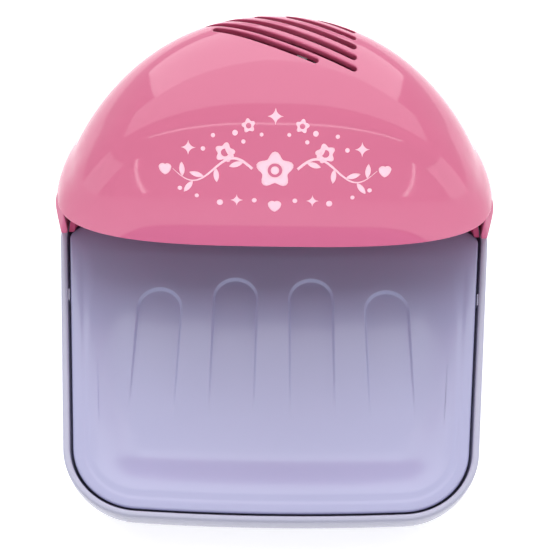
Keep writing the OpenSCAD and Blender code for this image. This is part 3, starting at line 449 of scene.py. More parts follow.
@dataclass(frozen=True)
class DomeForm:
    """The hood's double-curved form, drawn in by inset.

    At height share t it is a ring of half width a = w (1 - t^p)^(1/q). Its front half is a
    superellipse, its back half an ellipse, and they meet on a line that moves from the widest
    line to the crown.
    """

    inset: float = 0.0
    half_w: float = 66.0
    back_y: float = 71.0
    wide_y: float = 23.25
    rim_z: float = 18.0
    crown_z: float = 82.0
    crown_back: float = 24.25
    lip_z: float = 43.0
    lip_reach: float = 18.6
    front_power: float = 2.5
    front_root: float = 2.4
    back_power: float = 5.6
    back_root: float = 2.54
    middle_power: float = 3.5
    visor_power: float = 3.05
    side_power: float = 2.5
    side_root: float = 2.4
    side_hold: float = 0.55
    edge_y: float = 24.5
    edge_lean: float = 2.0

    @staticmethod
    def swell(t: Array, p: float, q: float) -> Array:
        """Share of the full radius left at height share t: (1 - t^p)^(1/q)."""
        return np.maximum(0, 1 - np.clip(t, 0, 1) ** p) ** (1 / q)

    @property
    def crown_y(self) -> float:
        """Distance of the crown behind the middle."""
        return self.back_y - self.crown_back

    @property
    def front_span(self) -> float:
        """Reach of the form in front of the crown at the rim's height."""
        full = (self.lip_z - self.rim_z) / (self.crown_z - self.rim_z)
        left = self.swell(full, self.front_power, self.front_root)
        return (self.crown_y - self.wide_y + self.lip_reach) / left

    def share(self, z: Array) -> Array:
        """Height share at height z."""
        return (z - self.rim_z) / (self.crown_z - self.inset - self.rim_z)

    def extents(self, t: Array) -> tuple[Array, Array, Array, Array]:
        """Reach of the ring to each side.

        Below the share side_hold the sides stay fuller: they take the width of a lower share.

        Args:
            t: Height share.

        Returns:
            Half width, front, back, and the middle line where front and back meet.
        """
        held = t * smooth_step(t / self.side_hold)
        half = (self.half_w - self.inset) * self.swell(held, self.side_power, self.side_root)
        back_span = self.back_y - self.inset - self.crown_y
        back = self.crown_y + back_span * self.swell(t, self.back_power, self.back_root)
        front_span = self.front_span - self.inset
        front = self.crown_y - front_span * self.swell(t, self.front_power, self.front_root)
        mid = self.wide_y + (self.crown_y - self.wide_y) * np.clip(t, 0, 1) ** self.middle_power
        return half, front, back, mid

    def at(self, t: Array, u: Array) -> Array:
        """Points of the form: half cos u across and reach sin u deep, each to its power.

        Args:
            t: Height share.
            u: Angle round the ring in radians, of a shape that fits t's.

        Returns:
            A grid of points, its last axis x, y and z.
        """
        half, front, back, mid = self.extents(t)
        c, s = np.cos(u), np.sin(u)
        power = np.where(s < 0, 2 / self.visor_power, 1.0)
        reach = np.where(s < 0, mid - front, back - mid)
        x = half * np.sign(c) * np.abs(c) ** power
        y = mid + reach * np.sign(s) * np.abs(s) ** power
        z = self.rim_z + (self.crown_z - self.inset - self.rim_z) * t
        return np.stack(np.broadcast_arrays(x, y, z), -1)

    def outside(self, points: Array) -> Array:
        """Says how far points are out of the form, by the equation of their height's ring.

        Args:
            points: Points as n by 3.

        Returns:
            A value for each point, above 0 outside and below 0 inside.
        """
        t = self.share(points[..., 2])
        half, front, back, mid = self.extents(t)
        lead = points[..., 1] < mid
        power = np.where(lead, self.visor_power, 2.0)
        reach = np.where(lead, mid - front, back - mid)
        least = 1e-6
        across = np.abs(points[..., 0] / np.maximum(half, least)) ** power
        deep = np.abs((points[..., 1] - mid) / np.maximum(reach, least)) ** power
        return np.where(t >= 1, 1.0, across + deep - 1)

    def meet(self, start: Array, step: Array, reach: float) -> Array:
        """Where lines cross the form, found by halving.

        Args:
            start: Points outside the form, n by 3.
            step: The lines' direction.
            reach: A length along it that is inside the form.

        Returns:
            The crossings, n by 3.
        """
        near, far = np.zeros(len(start)), np.full(len(start), reach)
        for _ in range(HALVINGS):
            half = (near + far) / 2
            out = self.outside(start + half[:, None] * step) > 0
            near, far = np.where(out, half, near), np.where(out, far, half)
        return start + far[:, None] * step

    def heights(self, plan: Array) -> Array:
        """Height of the form over plan points, n by 2."""
        top = np.column_stack([plan, np.full(len(plan), self.crown_z + 1)])
        return self.meet(top, np.array([0.0, 0.0, -1.0]), self.crown_z - self.lip_z)[:, 2]

    def normals(self, points: Array) -> Array:
        """Outward unit normals, which are the slopes of the form's own equation.

        Args:
            points: Points on the form as n by 3.

        Returns:
            The normals, n by 3.
        """
        h = 0.02
        slope = np.stack([self.outside(points + h * d) - self.outside(points - h * d)
                          for d in np.eye(3)], -1)
        return slope / np.linalg.norm(slope, axis=-1, keepdims=True)

    def edge_angle(self, z: Array) -> Array:
        """Finds the leaning front edge of the side wall.

        Args:
            z: Heights between the rim and the lip.

        Returns:
            The angle round the ring at which each height's ring meets the edge.
        """
        y = self.edge_y - self.edge_lean * (z - self.rim_z) / (self.lip_z - self.rim_z)
        _, front, back, mid = self.extents(self.share(z))
        lead = y < mid
        share = (y - mid) / np.where(lead, mid - front, back - mid)
        power = np.where(lead, self.visor_power, 2.0)
        return np.arcsin(np.sign(share) * np.abs(share) ** (power / 2))


# ---------------------------------------------------------------- hood


@dataclass(frozen=True)
class Hood:
    """The glossy dome with its visor, its slanting air slots and its print."""

    wall: float = 2.2
    slot_w: float = 1.9
    slot_angle: float = 24.0
    slot_pitch: float = 4.1
    slot_count: int = 6
    slot_right: float = 22.0
    slot_left: float = -20.0
    slot_first_y: float = 42.0
    slot_back: float = 15.75
    short_in: float = 11.0
    short_back: float = 1.6
    short_w: float = 28.6
    slot_rounding: float = 0.45
    slot_apron: float = 0.52
    slot_step: float = 0.9
    slot_turn: int = 11
    cap_share: float = 0.85
    inner_cap_share: float = 0.76
    edge_rounding: float = 0.85
    edge_steps: int = 4
    back_columns: int = 130
    front_columns: int = 150
    upper_rows: int = 34
    upper_crowding: float = 1.15
    lower_rows: int = 16
    cap_step: float = 1.25
    probe: float = 0.3
    post_reach: float = 3.5
    post_places: tuple[tuple[float, float], ...] = (
        (40.0, 44.75), (20.0, 52.0), (36.0, 20.0), (34.0, 52.0))

    def slot_ends(self, form: DomeForm) -> list[tuple[Array, Array]]:
        """Lays out the slanting air slots in plan.

        Args:
            form: The dome, whose crown bounds them behind.

        Returns:
            The two ends of each slot, the short first one at the front.
        """
        slope = math.tan(math.radians(self.slot_angle))
        last_y = form.crown_y + self.slot_back
        short = self.slot_right - self.short_in
        rows = [(short, self.slot_first_y + self.short_back, short - self.short_w)]
        rows += [(self.slot_right, self.slot_first_y + k * self.slot_pitch, self.slot_left)
                 for k in range(self.slot_count - 1)]
        ends = []
        for right, y, left in rows:
            left = max(left, right - (last_y - y) / slope)
            ends.append((np.array([right, y]), np.array([left, y + (right - left) * slope])))
        return ends

    def slot_loop(self, a: Array, b: Array, grow: float) -> Array:
        """A slot's outline: two straight sides and two half circles.

        Args:
            a: One end of its middle line in plan.
            b: The other end.
            grow: How much the outline is widened all round.

        Returns:
            The closed outline, n by 2.
        """
        run = (b - a) / np.linalg.norm(b - a)
        side = np.array([-run[1], run[0]])
        radius = self.slot_w / 2 + grow
        turn = np.linspace(0, math.pi, self.slot_turn)[:, None]
        count = max(4, int(np.linalg.norm(b - a) / self.slot_step))
        along = np.linspace(0, 1, count)[1:-1, None]
        arc = radius * (side * np.cos(turn) + run * np.sin(turn))
        cap_b, cap_a = b + arc, a - arc
        return np.concatenate([cap_b, cap_b[-1] + (cap_a[0] - cap_b[-1]) * along,
                               cap_a, cap_a[-1] + (cap_b[0] - cap_a[-1]) * along])

    def side_rings(self, skin: Skin, form: DomeForm, cap_t: float) -> tuple[Array, Array, Array]:
        """Adds the rings of one face of the wall, from the rim to the cap.

        Below the visor's edge they run only round the back, between the leaning front edges.

        Args:
            skin: Gets the points and faces.
            form: The dome at this face.
            cap_t: Height share at which the cap begins.

        Returns:
            The numbers along the outer edge and along the cap's edge, and the latter in plan.
        """
        lip_t = form.share(form.lip_z)
        edge = float(form.edge_angle(np.array(form.lip_z)))
        back = np.linspace(edge, math.pi - edge, self.back_columns)
        front = np.linspace(math.pi - edge, 2 * math.pi + edge, self.front_columns + 2)[1:-1]
        around = np.concatenate([back, front])
        t = lip_t + (cap_t - lip_t) * np.linspace(0, 1, self.upper_rows) ** self.upper_crowding
        upper = skin.add(form.at(t[:, None], around[None]))
        skin.grid(upper, closed=True)
        z = np.linspace(form.rim_z, form.lip_z, self.lower_rows)[:-1]
        turn = form.edge_angle(z)[:, None]
        u = turn + (math.pi - 2 * turn) * np.linspace(0, 1, self.back_columns)
        lower = skin.add(form.at(form.share(z)[:, None], u))
        lower = np.concatenate([lower, upper[:1, :self.back_columns]])
        skin.grid(lower)
        rim = np.concatenate([lower[0], lower[1:, -1], upper[0, self.back_columns:],
                              lower[:0:-1, 0]])
        return rim, upper[-1], form.at(np.array(cap_t), around)[:, :2]

    def cap(self, skin: Skin, form: DomeForm, top: Array, ring: Array, drop: float) -> list[Array]:
        """Fills one face of the wall above its rings, with the slots left open.

        Round a slot the face turns down by drop, as a quarter circle.

        Args:
            skin: Gets the points and faces.
            form: The dome at this face.
            top: Point numbers of the rings' end.
            ring: The same points in plan.
            drop: Radius of the rounding at the slots.

        Returns:
            The numbers round each slot.
        """
        curl = [drop * (1 - math.cos(math.radians(a))) for a in (90, 66, 44, 22, 0)]
        ends = self.slot_ends(form)
        holes = [self.slot_loop(a, b, self.slot_apron) for a, b in ends]
        plan, triangles = plan_fill(ring, holes, [], self.cap_step)
        inner = plan[len(ring):]
        added = skin.add(np.column_stack([inner, form.heights(inner)]))
        skin.faces += np.concatenate([top, added])[triangles].tolist()
        slots, start = [], 0
        for (a, b), hole in zip(ends, holes):
            rows = [added[start:start + len(hole)]]
            start += len(hole)
            for off in curl if drop else [0.0]:
                loop = self.slot_loop(a, b, off)
                down = drop - math.sqrt(max(0, drop**2 - (drop - off) ** 2)) if drop else 0
                rows.append(skin.add(np.column_stack([loop, form.heights(loop) - down])))
            skin.grid(np.array(rows), closed=True)
            slots.append(rows[-1])
        return slots

    def shell(self) -> bpy.types.Object:
        """The whole wall: outer and inner sheet, joined along the edge and through the slots.

        Returns:
            The shell, with its edges rounded and all that isn't the outer face in its second
            material, a brighter pink that paints light into the slots and onto the underside.
        """
        skin = Skin()
        rims, slots = [], []
        for form, cap_t, drop in ((DomeForm(), self.cap_share, self.slot_rounding),
                                  (DomeForm(inset=self.wall), self.inner_cap_share, 0.0)):
            rim, top, ring = self.side_rings(skin, form, cap_t)
            rims.append(rim)
            slots.append(self.cap(skin, form, top, ring, drop))
        for outer, inner in [rims, *zip(*slots)]:
            skin.grid(np.array([outer, inner]), closed=True)
        mesh = skin.mesh("hood")
        weight = mesh.attributes.new("bevel_weight_edge", "FLOAT", "EDGE")
        ends = np.zeros(len(mesh.edges) * 2, int)
        mesh.edges.foreach_get("vertices", ends)
        edges = edge_keys(ends.reshape(-1, 2), skin.count)
        sharp = np.concatenate([edge_keys(np.stack([rim, np.roll(rim, -1)], -1), skin.count)
                                for rim in rims])
        weight.data.foreach_set("value", np.isin(edges, sharp).astype(np.float32))
        piece = rounded(finished(mesh, "hood", True, 42.0), self.edge_rounding,
                        steps=self.edge_steps)
        # picks the slot walls and the inner sheet, which take the painted slot light
        centres, normals = face_data(piece.data)
        return second_finish(piece, DomeForm().outside(centres + self.probe * normals) < 0)

    def posts(self) -> bpy.types.Object:
        """Takes the screw posts inside the hood from the CAD node.

        Returns:
            The posts.
        """
        centres = np.array([[side * x, y] for x, y in self.post_places for side in (1, -1)])

        def in_post(corners: Array) -> Array:
            """Picks the faces whose corners all lie within a post.

            Args:
                corners: The faces' corners in millimetres.

            Returns:
                A truth value for each face.
            """
            reach = np.linalg.norm(corners[:, :, None, :2] - centres, axis=-1)
            return (reach.max(1) < self.post_reach).any(1)

        return cad_copy("hood_shell", "hood_posts", in_post)


class Motif(Enum):
    """The small generic shapes of the print."""

    DOT = "dot"
    LEAF = "leaf"
    HEART = "heart"
    BLOSSOM = "blossom"
    SPARKLE = "sparkle"


@dataclass(frozen=True)
class HoodPrint:
    """A generic garland of leaves and blossoms in pale ink on the visor.

    Places and sizes are in the print's own plane, across and up from its middle.
    """

    lean: float = 47.0
    middle_y: float = 17.5
    middle_z: float = 62.0
    stand_off: float = 25.0
    throw: float = 45.0
    lift: float = 0.03
    thickness: float = 0.02
    motif_points: int = 40
    stem_w: float = 0.8
    stem_from: float = 29.0
    stem_to: float = 6.4
    wave_from: float = 6.0
    wave_l: float = 23.0
    wave_mid: float = 2.4
    wave_h: float = 3.4
    leaf_size: float = 2.15
    leaf_reach: float = 2.3
    leaf_spread: float = 52.0
    leaves: tuple[float, ...] = (8.8, 11.6, 16.8, 20.0, 23.2, 26.2)
    dots: tuple[tuple[float, float, float], ...] = (
        (9.0, 10.6, 0.6), (11.4, 13.0, 0.8), (20.4, 8.4, 0.65), (5.8, -6.8, 0.7),
        (15.6, -7.6, 0.9), (27.0, -3.4, 0.65), (22.2, -5.6, 0.6), (3.9, 12.6, 0.55),
        (17.6, 12.2, 0.6))
    beside: tuple[tuple[Motif, float, float, float, float], ...] = (
        (Motif.BLOSSOM, 14.2, 7.4, 2.9, 12.0), (Motif.HEART, 31.2, 2.4, 1.9, 0.0),
        (Motif.BLOSSOM, 7.6, 15.0, 2.0, -10.0), (Motif.SPARKLE, 24.6, 8.6, 2.1, 0.0),
        (Motif.SPARKLE, 10.8, -6.8, 1.8, 0.0))
    middle: tuple[tuple[Motif, float, float], ...] = (
        (Motif.BLOSSOM, 2.4, 5.4), (Motif.DOT, 2.4, 1.2), (Motif.SPARKLE, 17.6, 2.3),
        (Motif.HEART, -8.4, 2.0))

    @staticmethod
    def radius(kind: Motif, a: Array) -> tuple[Array, float]:
        """Outline of a motif of size 1.

        A blossom is 0.86 + 0.16 cos 5a, with a hole. A sparkle is a superellipse of power 0.62,
        which has four points. A leaf is the lens of two circles whose centres lie 1.22 above
        and below. A heart is 0.62 at its notch, 1 from 1.25 radians on, and 0.16 less half-way
        to its point.

        Args:
            kind: Which motif.
            a: Angles in radians.

        Returns:
            The radius at each angle, and the share of it that is a hole.
        """
        top = math.pi / 2
        if kind is Motif.DOT:
            return np.ones_like(a), 0.0
        if kind is Motif.BLOSSOM:
            return 0.86 + 0.16 * np.cos(5 * (a - top)), 0.38
        if kind is Motif.SPARKLE:
            power, least = 0.62, 1e-6
            c, s = np.abs(np.cos(a)) + least, np.abs(np.sin(a)) + least
            return (c**power + s**power) ** (-1 / power), 0.0
        if kind is Motif.LEAF:
            high = 1.22 * np.abs(np.sin(a))
            return np.sqrt(high**2 + 1) - high, 0.0
        full = 1.25
        b = np.abs(np.mod(a - top + math.pi, 2 * math.pi) - math.pi)
        cheek = 0.38 * np.sin(np.clip(b / full, 0, 1) * top)
        hollow = 0.16 * np.sin(np.clip((b - full) / (math.pi - full), 0, 1) * math.pi)
        return 0.62 + cheek - hollow, 0.0

    def place(self, skin: Skin, flat: Array) -> Array:
        """Lays points of the print's plane on the dome, along the plane's normal.

        Args:
            skin: Gets the points.
            flat: A grid of points, its last axis across and up.

        Returns:
            Their numbers.
        """
        form = DomeForm()
        a = math.radians(self.lean)
        up, out = np.array([0, math.cos(a), math.sin(a)]), np.array([0, -math.sin(a), math.cos(a)])
        points = flat.reshape(-1, 2)
        start = np.array([0, self.middle_y, self.middle_z]) + out * self.stand_off
        start = start + points[:, :1] * np.array([1.0, 0, 0]) + points[:, 1:] * up
        found = form.meet(start, -out, self.throw)
        found = found + self.lift * form.normals(found)
        return skin.add(found.reshape(*flat.shape[:-1], 3))

    def motif(self, skin: Skin, kind: Motif, x: float, y: float, size: float,
              turn: float = 0.0) -> None:
        """Adds one filled motif.

        Args:
            skin: Gets the faces.
            kind: Which motif.
            x: Place across the print.
            y: Place up the print.
            size: Radius in millimetres.
            turn: Turn in degrees.
        """
        a = np.linspace(0, 2 * math.pi, self.motif_points, endpoint=False)
        r, hole = self.radius(kind, a)
        rows = np.linspace(hole or 0.04, 1, 4)[:, None]
        reach = hole + (r - hole) * (rows - hole) / (1 - hole)
        b = a + math.radians(turn)
        flat = np.stack([x + size * reach * np.cos(b), y + size * reach * np.sin(b)], -1)
        numbers = self.place(skin, flat)
        skin.grid(numbers, closed=True)
        if not hole:
            skin.fan(numbers[0])

    def stem(self, skin: Skin, path: Array) -> None:
        """Adds a line of the print: a path given half its width to either side, and a thin tip.

        Args:
            skin: Gets the faces.
            path: The path in the print's plane, n by 2.
        """
        run = np.gradient(path, axis=0)
        side = np.stack([-run[:, 1], run[:, 0]], -1) / np.linalg.norm(run, axis=1, keepdims=True)
        swell = np.sin(np.linspace(0.12, 1, len(path)) * math.pi / 2)[:, None]
        half = swell * self.stem_w / 2
        skin.grid(self.place(skin, np.stack([path - side * half, path, path + side * half])))

    def leaf(self, skin: Skin, side: int, x: float, way: int) -> None:
        """Adds a leaf that grows out of the stem.

        Args:
            skin: Gets the faces.
            side: 1 for the right half of the print, -1 for the left.
            x: Where it grows from the stem.
            way: 1 for a leaf above the stem, -1 for one below.
        """
        wave = (x - self.wave_from) / self.wave_l * 2 * math.pi
        y = self.wave_mid + self.wave_h * math.sin(wave)
        tilt = math.atan(self.wave_h * 2 * math.pi / self.wave_l * math.cos(wave))
        angle = math.degrees(tilt) + way * self.leaf_spread
        a = math.radians(angle)
        self.motif(skin, Motif.LEAF, side * (x + self.leaf_reach * math.cos(a)),
                   y + self.leaf_reach * math.sin(a), self.leaf_size,
                   angle if side > 0 else 180 - angle)

    def build(self) -> bpy.types.Object:
        """The garland: a mirrored wave with leaves, blossoms along it, and dots round it.

        Returns:
            The print, as a thin skin of ink.
        """
        skin = Skin()
        x = np.linspace(self.stem_from, self.stem_to, 90)
        wave = np.sin((x - self.wave_from) / self.wave_l * 2 * math.pi)
        for side in (-1, 1):
            self.stem(skin, np.stack([side * x, self.wave_mid + self.wave_h * wave], -1))
            for k, leaf_x in enumerate(self.leaves):
                self.leaf(skin, side, leaf_x, 1 if k % 2 else -1)
            for kind, across, up, size, turn in self.beside:
                self.motif(skin, kind, side * across, up, size, side * turn)
            for across, up, size in self.dots:
                self.motif(skin, Motif.DOT, side * across, up, size)
        for kind, up, size in self.middle:
            self.motif(skin, kind, 0, up, size)
        piece = skin.build("hood_print", outward=False)
        piece.modifiers.new("ink", "SOLIDIFY").thickness = -self.thickness * MM
        return piece


# ---------------------------------------------------------------- base and tray


@dataclass(frozen=True)
class Base:
    """The bowl-shaped lower housing with its rounded rim, and the fittings moulded in it."""

    plan: BaseOutline = BaseOutline()
    rim_rounding: float = 0.75
    foot_in: float = 1.2
    floor_in: float = 0.6
    sink: float = 0.03
    outer_rows: int = 16
    rim_rows: int = 7
    inner_rows: int = 14
    middle_y: float = 10.0
    clear: float = 0.4
    rim_clear: float = 0.7
    rounding: float = 0.15

    def profile(self) -> tuple[Array, Array]:
        """The wall's section: up outside, over the rim as a half circle, and down inside.

        Returns:
            How far each point is drawn in, and its height.
        """
        p, r = self.plan, self.rim_rounding
        z_out = p.base_z + (p.rim_z - r - p.base_z) * np.linspace(0, 1, self.outer_rows) ** 1.5
        z_in = p.floor_z + (p.rim_z - r - p.floor_z) * np.linspace(1, 0, self.inner_rows)
        a = np.linspace(0, math.pi / 2, self.rim_rows)
        round_in, round_up = r * (1 - np.cos(a)), p.rim_z - r + r * np.sin(a)
        start, in_off = p.bowl_off(z_out), p.inner_off(z_in)
        off = np.concatenate([[start[0] + self.foot_in], start, start[-1] + round_in[1:],
                              p.wall - round_in[::-1], in_off[1:], [in_off[-1] + self.floor_in]])
        z = np.concatenate([[p.base_z - self.sink], z_out, round_up[1:], round_up[::-1],
                            z_in[1:], [p.floor_z + self.sink]])
        return off, z

    def bowl(self) -> bpy.types.Object:
        """The wall: its section carried round the outline.

        Returns:
            The bowl, its inside under the rim in its second material, a bluer lilac that paints the
            shade in the gap round the tray.
        """
        off, z = self.profile()
        rings = self.plan.rings(off, self.plan.wide_back)
        heights = np.broadcast_to(z[:, None, None], (*rings.shape[:2], 1))
        skin = Skin()
        numbers = skin.add(np.concatenate([rings, heights], -1))
        skin.grid(numbers[::-1], closed=True)
        piece = skin.build("base_bowl", outward=False, sharp=50)
        # picks the bowl's inner wall under the rim, which takes the painted gap shade
        centres, normals = face_data(piece.data)
        inward = (normals[:, :2] * (centres[:, :2] - [0, self.middle_y])).sum(1) < 0
        return second_finish(piece, inward & (centres[:, 2] < self.plan.rim_z - self.rim_rounding))

    def fittings(self) -> bpy.types.Object:
        """Takes floor, posts, ears, battery bay and switch mount from the CAD node.

        Returns:
            The fittings.
        """
        p = self.plan

        def off_wall(corners: Array) -> Array:
            """Picks the faces below the rim that leave both faces of the bowl's wall.

            Args:
                corners: The faces' corners in millimetres.

            Returns:
                A truth value for each face.
            """
            z = corners[..., 2]
            heights, which = np.unique(np.round(z, 2), return_inverse=True)
            which = which.reshape(z.shape)
            clear = np.zeros(z.shape, bool)
            for k, height in enumerate(heights):
                here = which == k
                walls = p.rings(np.array([p.bowl_off(height), p.inner_off(height)]), p.wide_back)
                gaps = gap_to_lines(corners[here][:, :2], list(walls), True)
                clear[here] = gaps > self.clear
            level, near = np.ptp(z, axis=1) < 0.01, 0.1
            low = (np.abs(z[:, 0] - p.base_z) < near) | (np.abs(z[:, 0] - p.floor_z) < near)
            return (clear.any(1) | (level & low)) & (z.min(1) < p.rim_z - self.rim_clear)

        return rounded(cad_copy("base_shell", "base_fittings", off_wall), self.rounding, 60, 1)


@dataclass(frozen=True)
class PressTray:
    """The sprung tray: a level border, a slope into the dish, and four shallow finger grooves."""

    plan: BaseOutline = BaseOutline()
    back: float = 16.0
    off: float = 2.9
    thickness: float = 1.6
    roll: float = 0.6
    skirt: float = 3.4
    skirt_in: float = 1.3
    chamfer: float = 0.25
    bare_x: float = 40.0
    bare_y: float = 2.0
    drop: float = 0.6
    border: float = 2.6
    border_ring: float = 2.0
    under_ring: float = 3.1
    ring_w: float = 5.0
    edge_in: float = 1.35
    edge_down: float = 0.75
    slope_w: float = 14.0
    front_slope_w: float = 18.0
    front_slope_y: float = -30.0
    front_slope_run: float = 25.0
    crest: float = 0.22
    crest_w: float = 1.2
    crest_run: float = 12.0
    ramp_back: float = 4.25
    ramp_slope: float = 0.09
    ramp_l: float = 39.0
    front_rise: float = 2.4
    groove_pitch: float = 22.8
    groove_w: float = 13.2
    groove_depth: float = 1.0
    groove_back: float = 13.6
    groove_stagger: float = 3.6
    groove_splay: float = 2.0
    inner_splay: float = 0.8
    groove_soft: float = 0.42
    groove_fade: float = 2.2
    groove_on: float = 16.0
    line_on: float = 18.0
    step: float = 2.1
    crease_x: float = 51.0
    rounding: float = 0.15
    ear_x: tuple[float, float] = (32.9, 40.0)
    ear_y: float = 32.0
    ear_half: float = 3.1
    ear_top: float = 16.3
    striker_y: float = -8.0
    striker_half: tuple[float, float] = (1.3, 2.1)
    striker_top: float = 15.0
    post_x: float = 37.5
    post_y: float = -50.0
    post_r: float = 3.0
    post_under: float = 0.5
    post_face: float = 3.4
    post_sink: float = 0.4

    @property
    def flat_z(self) -> float:
        """Height of the tray's border and of its level back."""
        return self.plan.rim_z - self.drop

    @property
    def ramp_y(self) -> float:
        """Where the level back turns into the ramp."""
        return self.plan.wide_y - self.ramp_back

    @property
    def ramp_end(self) -> float:
        """Where the ramp turns into the dish."""
        return self.ramp_y - self.ramp_l

    def post_top(self) -> float:
        """Height of the plate's underside over a spring post, where post and spring end."""
        spot = np.array([[self.post_x, self.post_y]])
        return float(self.face(self.edge_gap(spot), spot[:, 1])[0]) - self.thickness

    def edge_gap(self, plan: Array) -> Array:
        """Distance of plan points, n by 2, from the base's outline as it bounds the tray."""
        return gap_to_lines(plan, list(self.plan.rings(0.0, self.back)), True)

    def dish(self, y: Array) -> Array:
        """Height of the middle: level, then a ramp, then a parabola that rises to the front.

        Args:
            y: Place from the back to the front.

        Returns:
            The heights.
        """
        run = self.ramp_end - self.plan.front_y
        curve = (self.front_rise + self.ramp_slope * run) / run**2
        ahead = np.maximum(0, self.ramp_end - y)
        return self.flat_z - self.ramp_slope * np.maximum(0, self.ramp_y - y) + curve * ahead**2

    def face(self, off: Array, y: Array) -> Array:
        """Height of the plate without its grooves: border, small crest, slope and dish.

        The slope is the step from 0 to the dish's depth over its width, which grows to the front.

        Args:
            off: Distance from the base's outline.
            y: Place from the back to the front, of a shape that fits off's.

        Returns:
            The heights.
        """
        ahead = off - self.off - self.border
        start = smooth_step((self.ramp_y - y) / self.crest_run)
        crest = self.crest * smooth_step(ahead / self.crest_w) * start
        drop = self.flat_z - self.dish(y)
        front = smooth_step((self.front_slope_y - y) / self.front_slope_run)
        wide = self.slope_w + (self.front_slope_w - self.slope_w) * front
        deep = np.maximum(drop * smooth_step(ahead / wide), np.minimum(crest, drop))
        return self.flat_z - deep

    def grooves(self) -> list[tuple[float, float, float]]:
        """Lays out the grooves; the outer two lie further forward and splay more.

        Returns:
            For each groove its place across, its tip and its splay angle in degrees.
        """
        tip = self.plan.wide_y - self.groove_back
        rows = ((-1.5, self.groove_stagger, -self.groove_splay), (-0.5, 0, -self.inner_splay),
                (0.5, 0, self.inner_splay), (1.5, self.groove_stagger, self.groove_splay))
        return [(k * self.groove_pitch, tip - ahead, splay) for k, ahead, splay in rows]

    def groove_cut(self, plan: Array) -> Array:
        """How deep the grooves go at plan points.

        A groove is a full depth under the dish at its tip and comes up to it at its end, and its
        edge is the step of the distance from a round-ended strip.

        Args:
            plan: Points as n by 2.

        Returns:
            A depth for each point.
        """
        end_y = self.ramp_end - self.groove_on
        half = self.groove_w / 2
        cut = np.zeros(len(plan))
        for x, tip, splay in self.grooves():
            a = math.radians(splay)
            rel = plan - [x, tip]
            px = rel[:, 0] * math.cos(a) + rel[:, 1] * math.sin(a)
            py = -rel[:, 0] * math.sin(a) + rel[:, 1] * math.cos(a)
            edge = np.where(py > -half, np.hypot(px, py + half), np.abs(px)) - half
            depth = self.groove_depth * (1 - np.clip(-py / (tip - end_y), 0, 1) ** self.groove_fade)
            cut += depth * smooth_step(0.5 - edge / (2 * self.groove_soft))
        return cut

    def groove_lines(self) -> list[Array]:
        """Draws lines along each groove's edge, close together over its rounding.

        Returns:
            Polylines in plan, each n by 2.
        """
        half = self.groove_w / 2
        t = np.linspace(0, math.pi, 34)[1:-1]
        lines = []
        for x, tip, splay in self.grooves():
            a = math.radians(splay)
            turn = np.array([[math.cos(a), -math.sin(a)], [math.sin(a), math.cos(a)]])
            y = np.linspace(self.ramp_end - self.line_on - tip, -half, 32)
            for share in (-1.15, -0.8, -0.45, -0.15, 0.15, 0.45, 0.8, 1.15):
                r = half + share * self.groove_soft
                side = np.stack([np.full_like(y, r), y], -1)
                tip_arc = np.stack([r * np.cos(t), -half + r * np.sin(t)], -1)
                line = np.concatenate([side, tip_arc, side[::-1] * [-1, 1]])
                lines.append(line @ turn.T + [x, tip])
        return lines

    def edges(self, skin: Skin) -> tuple[Array, Array, Array]:
        """Adds the plate's skirt, rolled edge, border and slope as rings, above and below.

        Args:
            skin: Gets the points and faces.

        Returns:
            The innermost ring in plan, and its point numbers above and below.
        """
        p = self.plan
        low = self.flat_z - self.roll - self.skirt
        roll = np.linspace(0, math.pi / 2, 9)
        slope = np.linspace(0, 1, 12)[1:]
        skirt = self.off + self.skirt_in
        border = self.off + self.border
        off = np.concatenate([[skirt + self.chamfer, skirt],
                              self.off + self.roll * (1 - np.cos(roll)),
                              [self.off + self.border_ring, border],
                              border + self.ring_w * slope])
        drop = np.zeros(len(off))
        drop[2:2 + len(roll)] = self.roll * (1 - np.sin(roll))
        rings = p.rings(off, self.back)
        z = self.face(off[:, None], rings[..., 1]) - drop[:, None]
        z[:2] = low + np.array([[0.0], [self.chamfer]])
        in_off = np.concatenate([[skirt + self.thickness] * 2,
                                 np.linspace(self.off + self.under_ring, border + self.ring_w, 8)])
        under = p.rings(in_off, self.back)
        z_under = self.face(in_off[:, None], under[..., 1]) - self.thickness
        z_under[0] = low
        for ring, height in ((rings[:3], z[:3]), (under[:1], z_under[:1])):
            bare = (ring[..., 1] > p.wide_y + self.bare_y) & (np.abs(ring[..., 0]) < self.bare_x)
            height[bare] = np.maximum(height[bare], self.flat_z - self.thickness)
        top = skin.add(np.concatenate([rings, z[..., None]], -1))
        bottom = skin.add(np.concatenate([under, z_under[..., None]], -1))
        for rows in (top, bottom, np.array([top[0], bottom[0]])):
            skin.grid(rows, closed=True)
        return rings[-1], top[-1], bottom[-1]

    def build(self) -> bpy.types.Object:
        """The plate: its edges as rings, and a filled middle with the grooves above.

        Returns:
            The plate, with the underside of its edge in its second material, a bluer lilac that
            paints the shade in the gap round the tray.
        """
        skin = Skin()
        ring, top, bottom = self.edges(skin)
        crease_x = np.linspace(-self.crease_x, self.crease_x, 60)
        crease = np.stack([crease_x, np.full_like(crease_x, self.ramp_y)], -1)
        plan, triangles = plan_fill(ring, [], [*self.groove_lines(), crease], self.step)
        middle = plan[len(ring):]
        heights = self.face(self.edge_gap(middle), middle[:, 1])
        upper = skin.add(np.column_stack([middle, heights - self.groove_cut(middle)]))
        lower = skin.add(np.column_stack([middle, heights - self.thickness]))
        for edge, inner in ((top, upper), (bottom, lower)):
            skin.faces += np.concatenate([edge, inner])[triangles].tolist()
        piece = skin.build("tray", sharp=60)
        # picks the skirt and the underside of the rolled edge, which take the painted gap shade
        centres, _ = face_data(piece.data)
        within = self.plan.rings(self.off + self.edge_in, self.back)[0]
        return second_finish(piece, ~inside(centres[:, :2], within)
                             & (centres[:, 2] < self.flat_z - self.edge_down))

    def fittings(self) -> bpy.types.Object:
        """Hinge ears, trunnions, spring posts and striker, taken from the CAD node.

        Returns:
            The fittings, their posts carried up to the plate.
        """

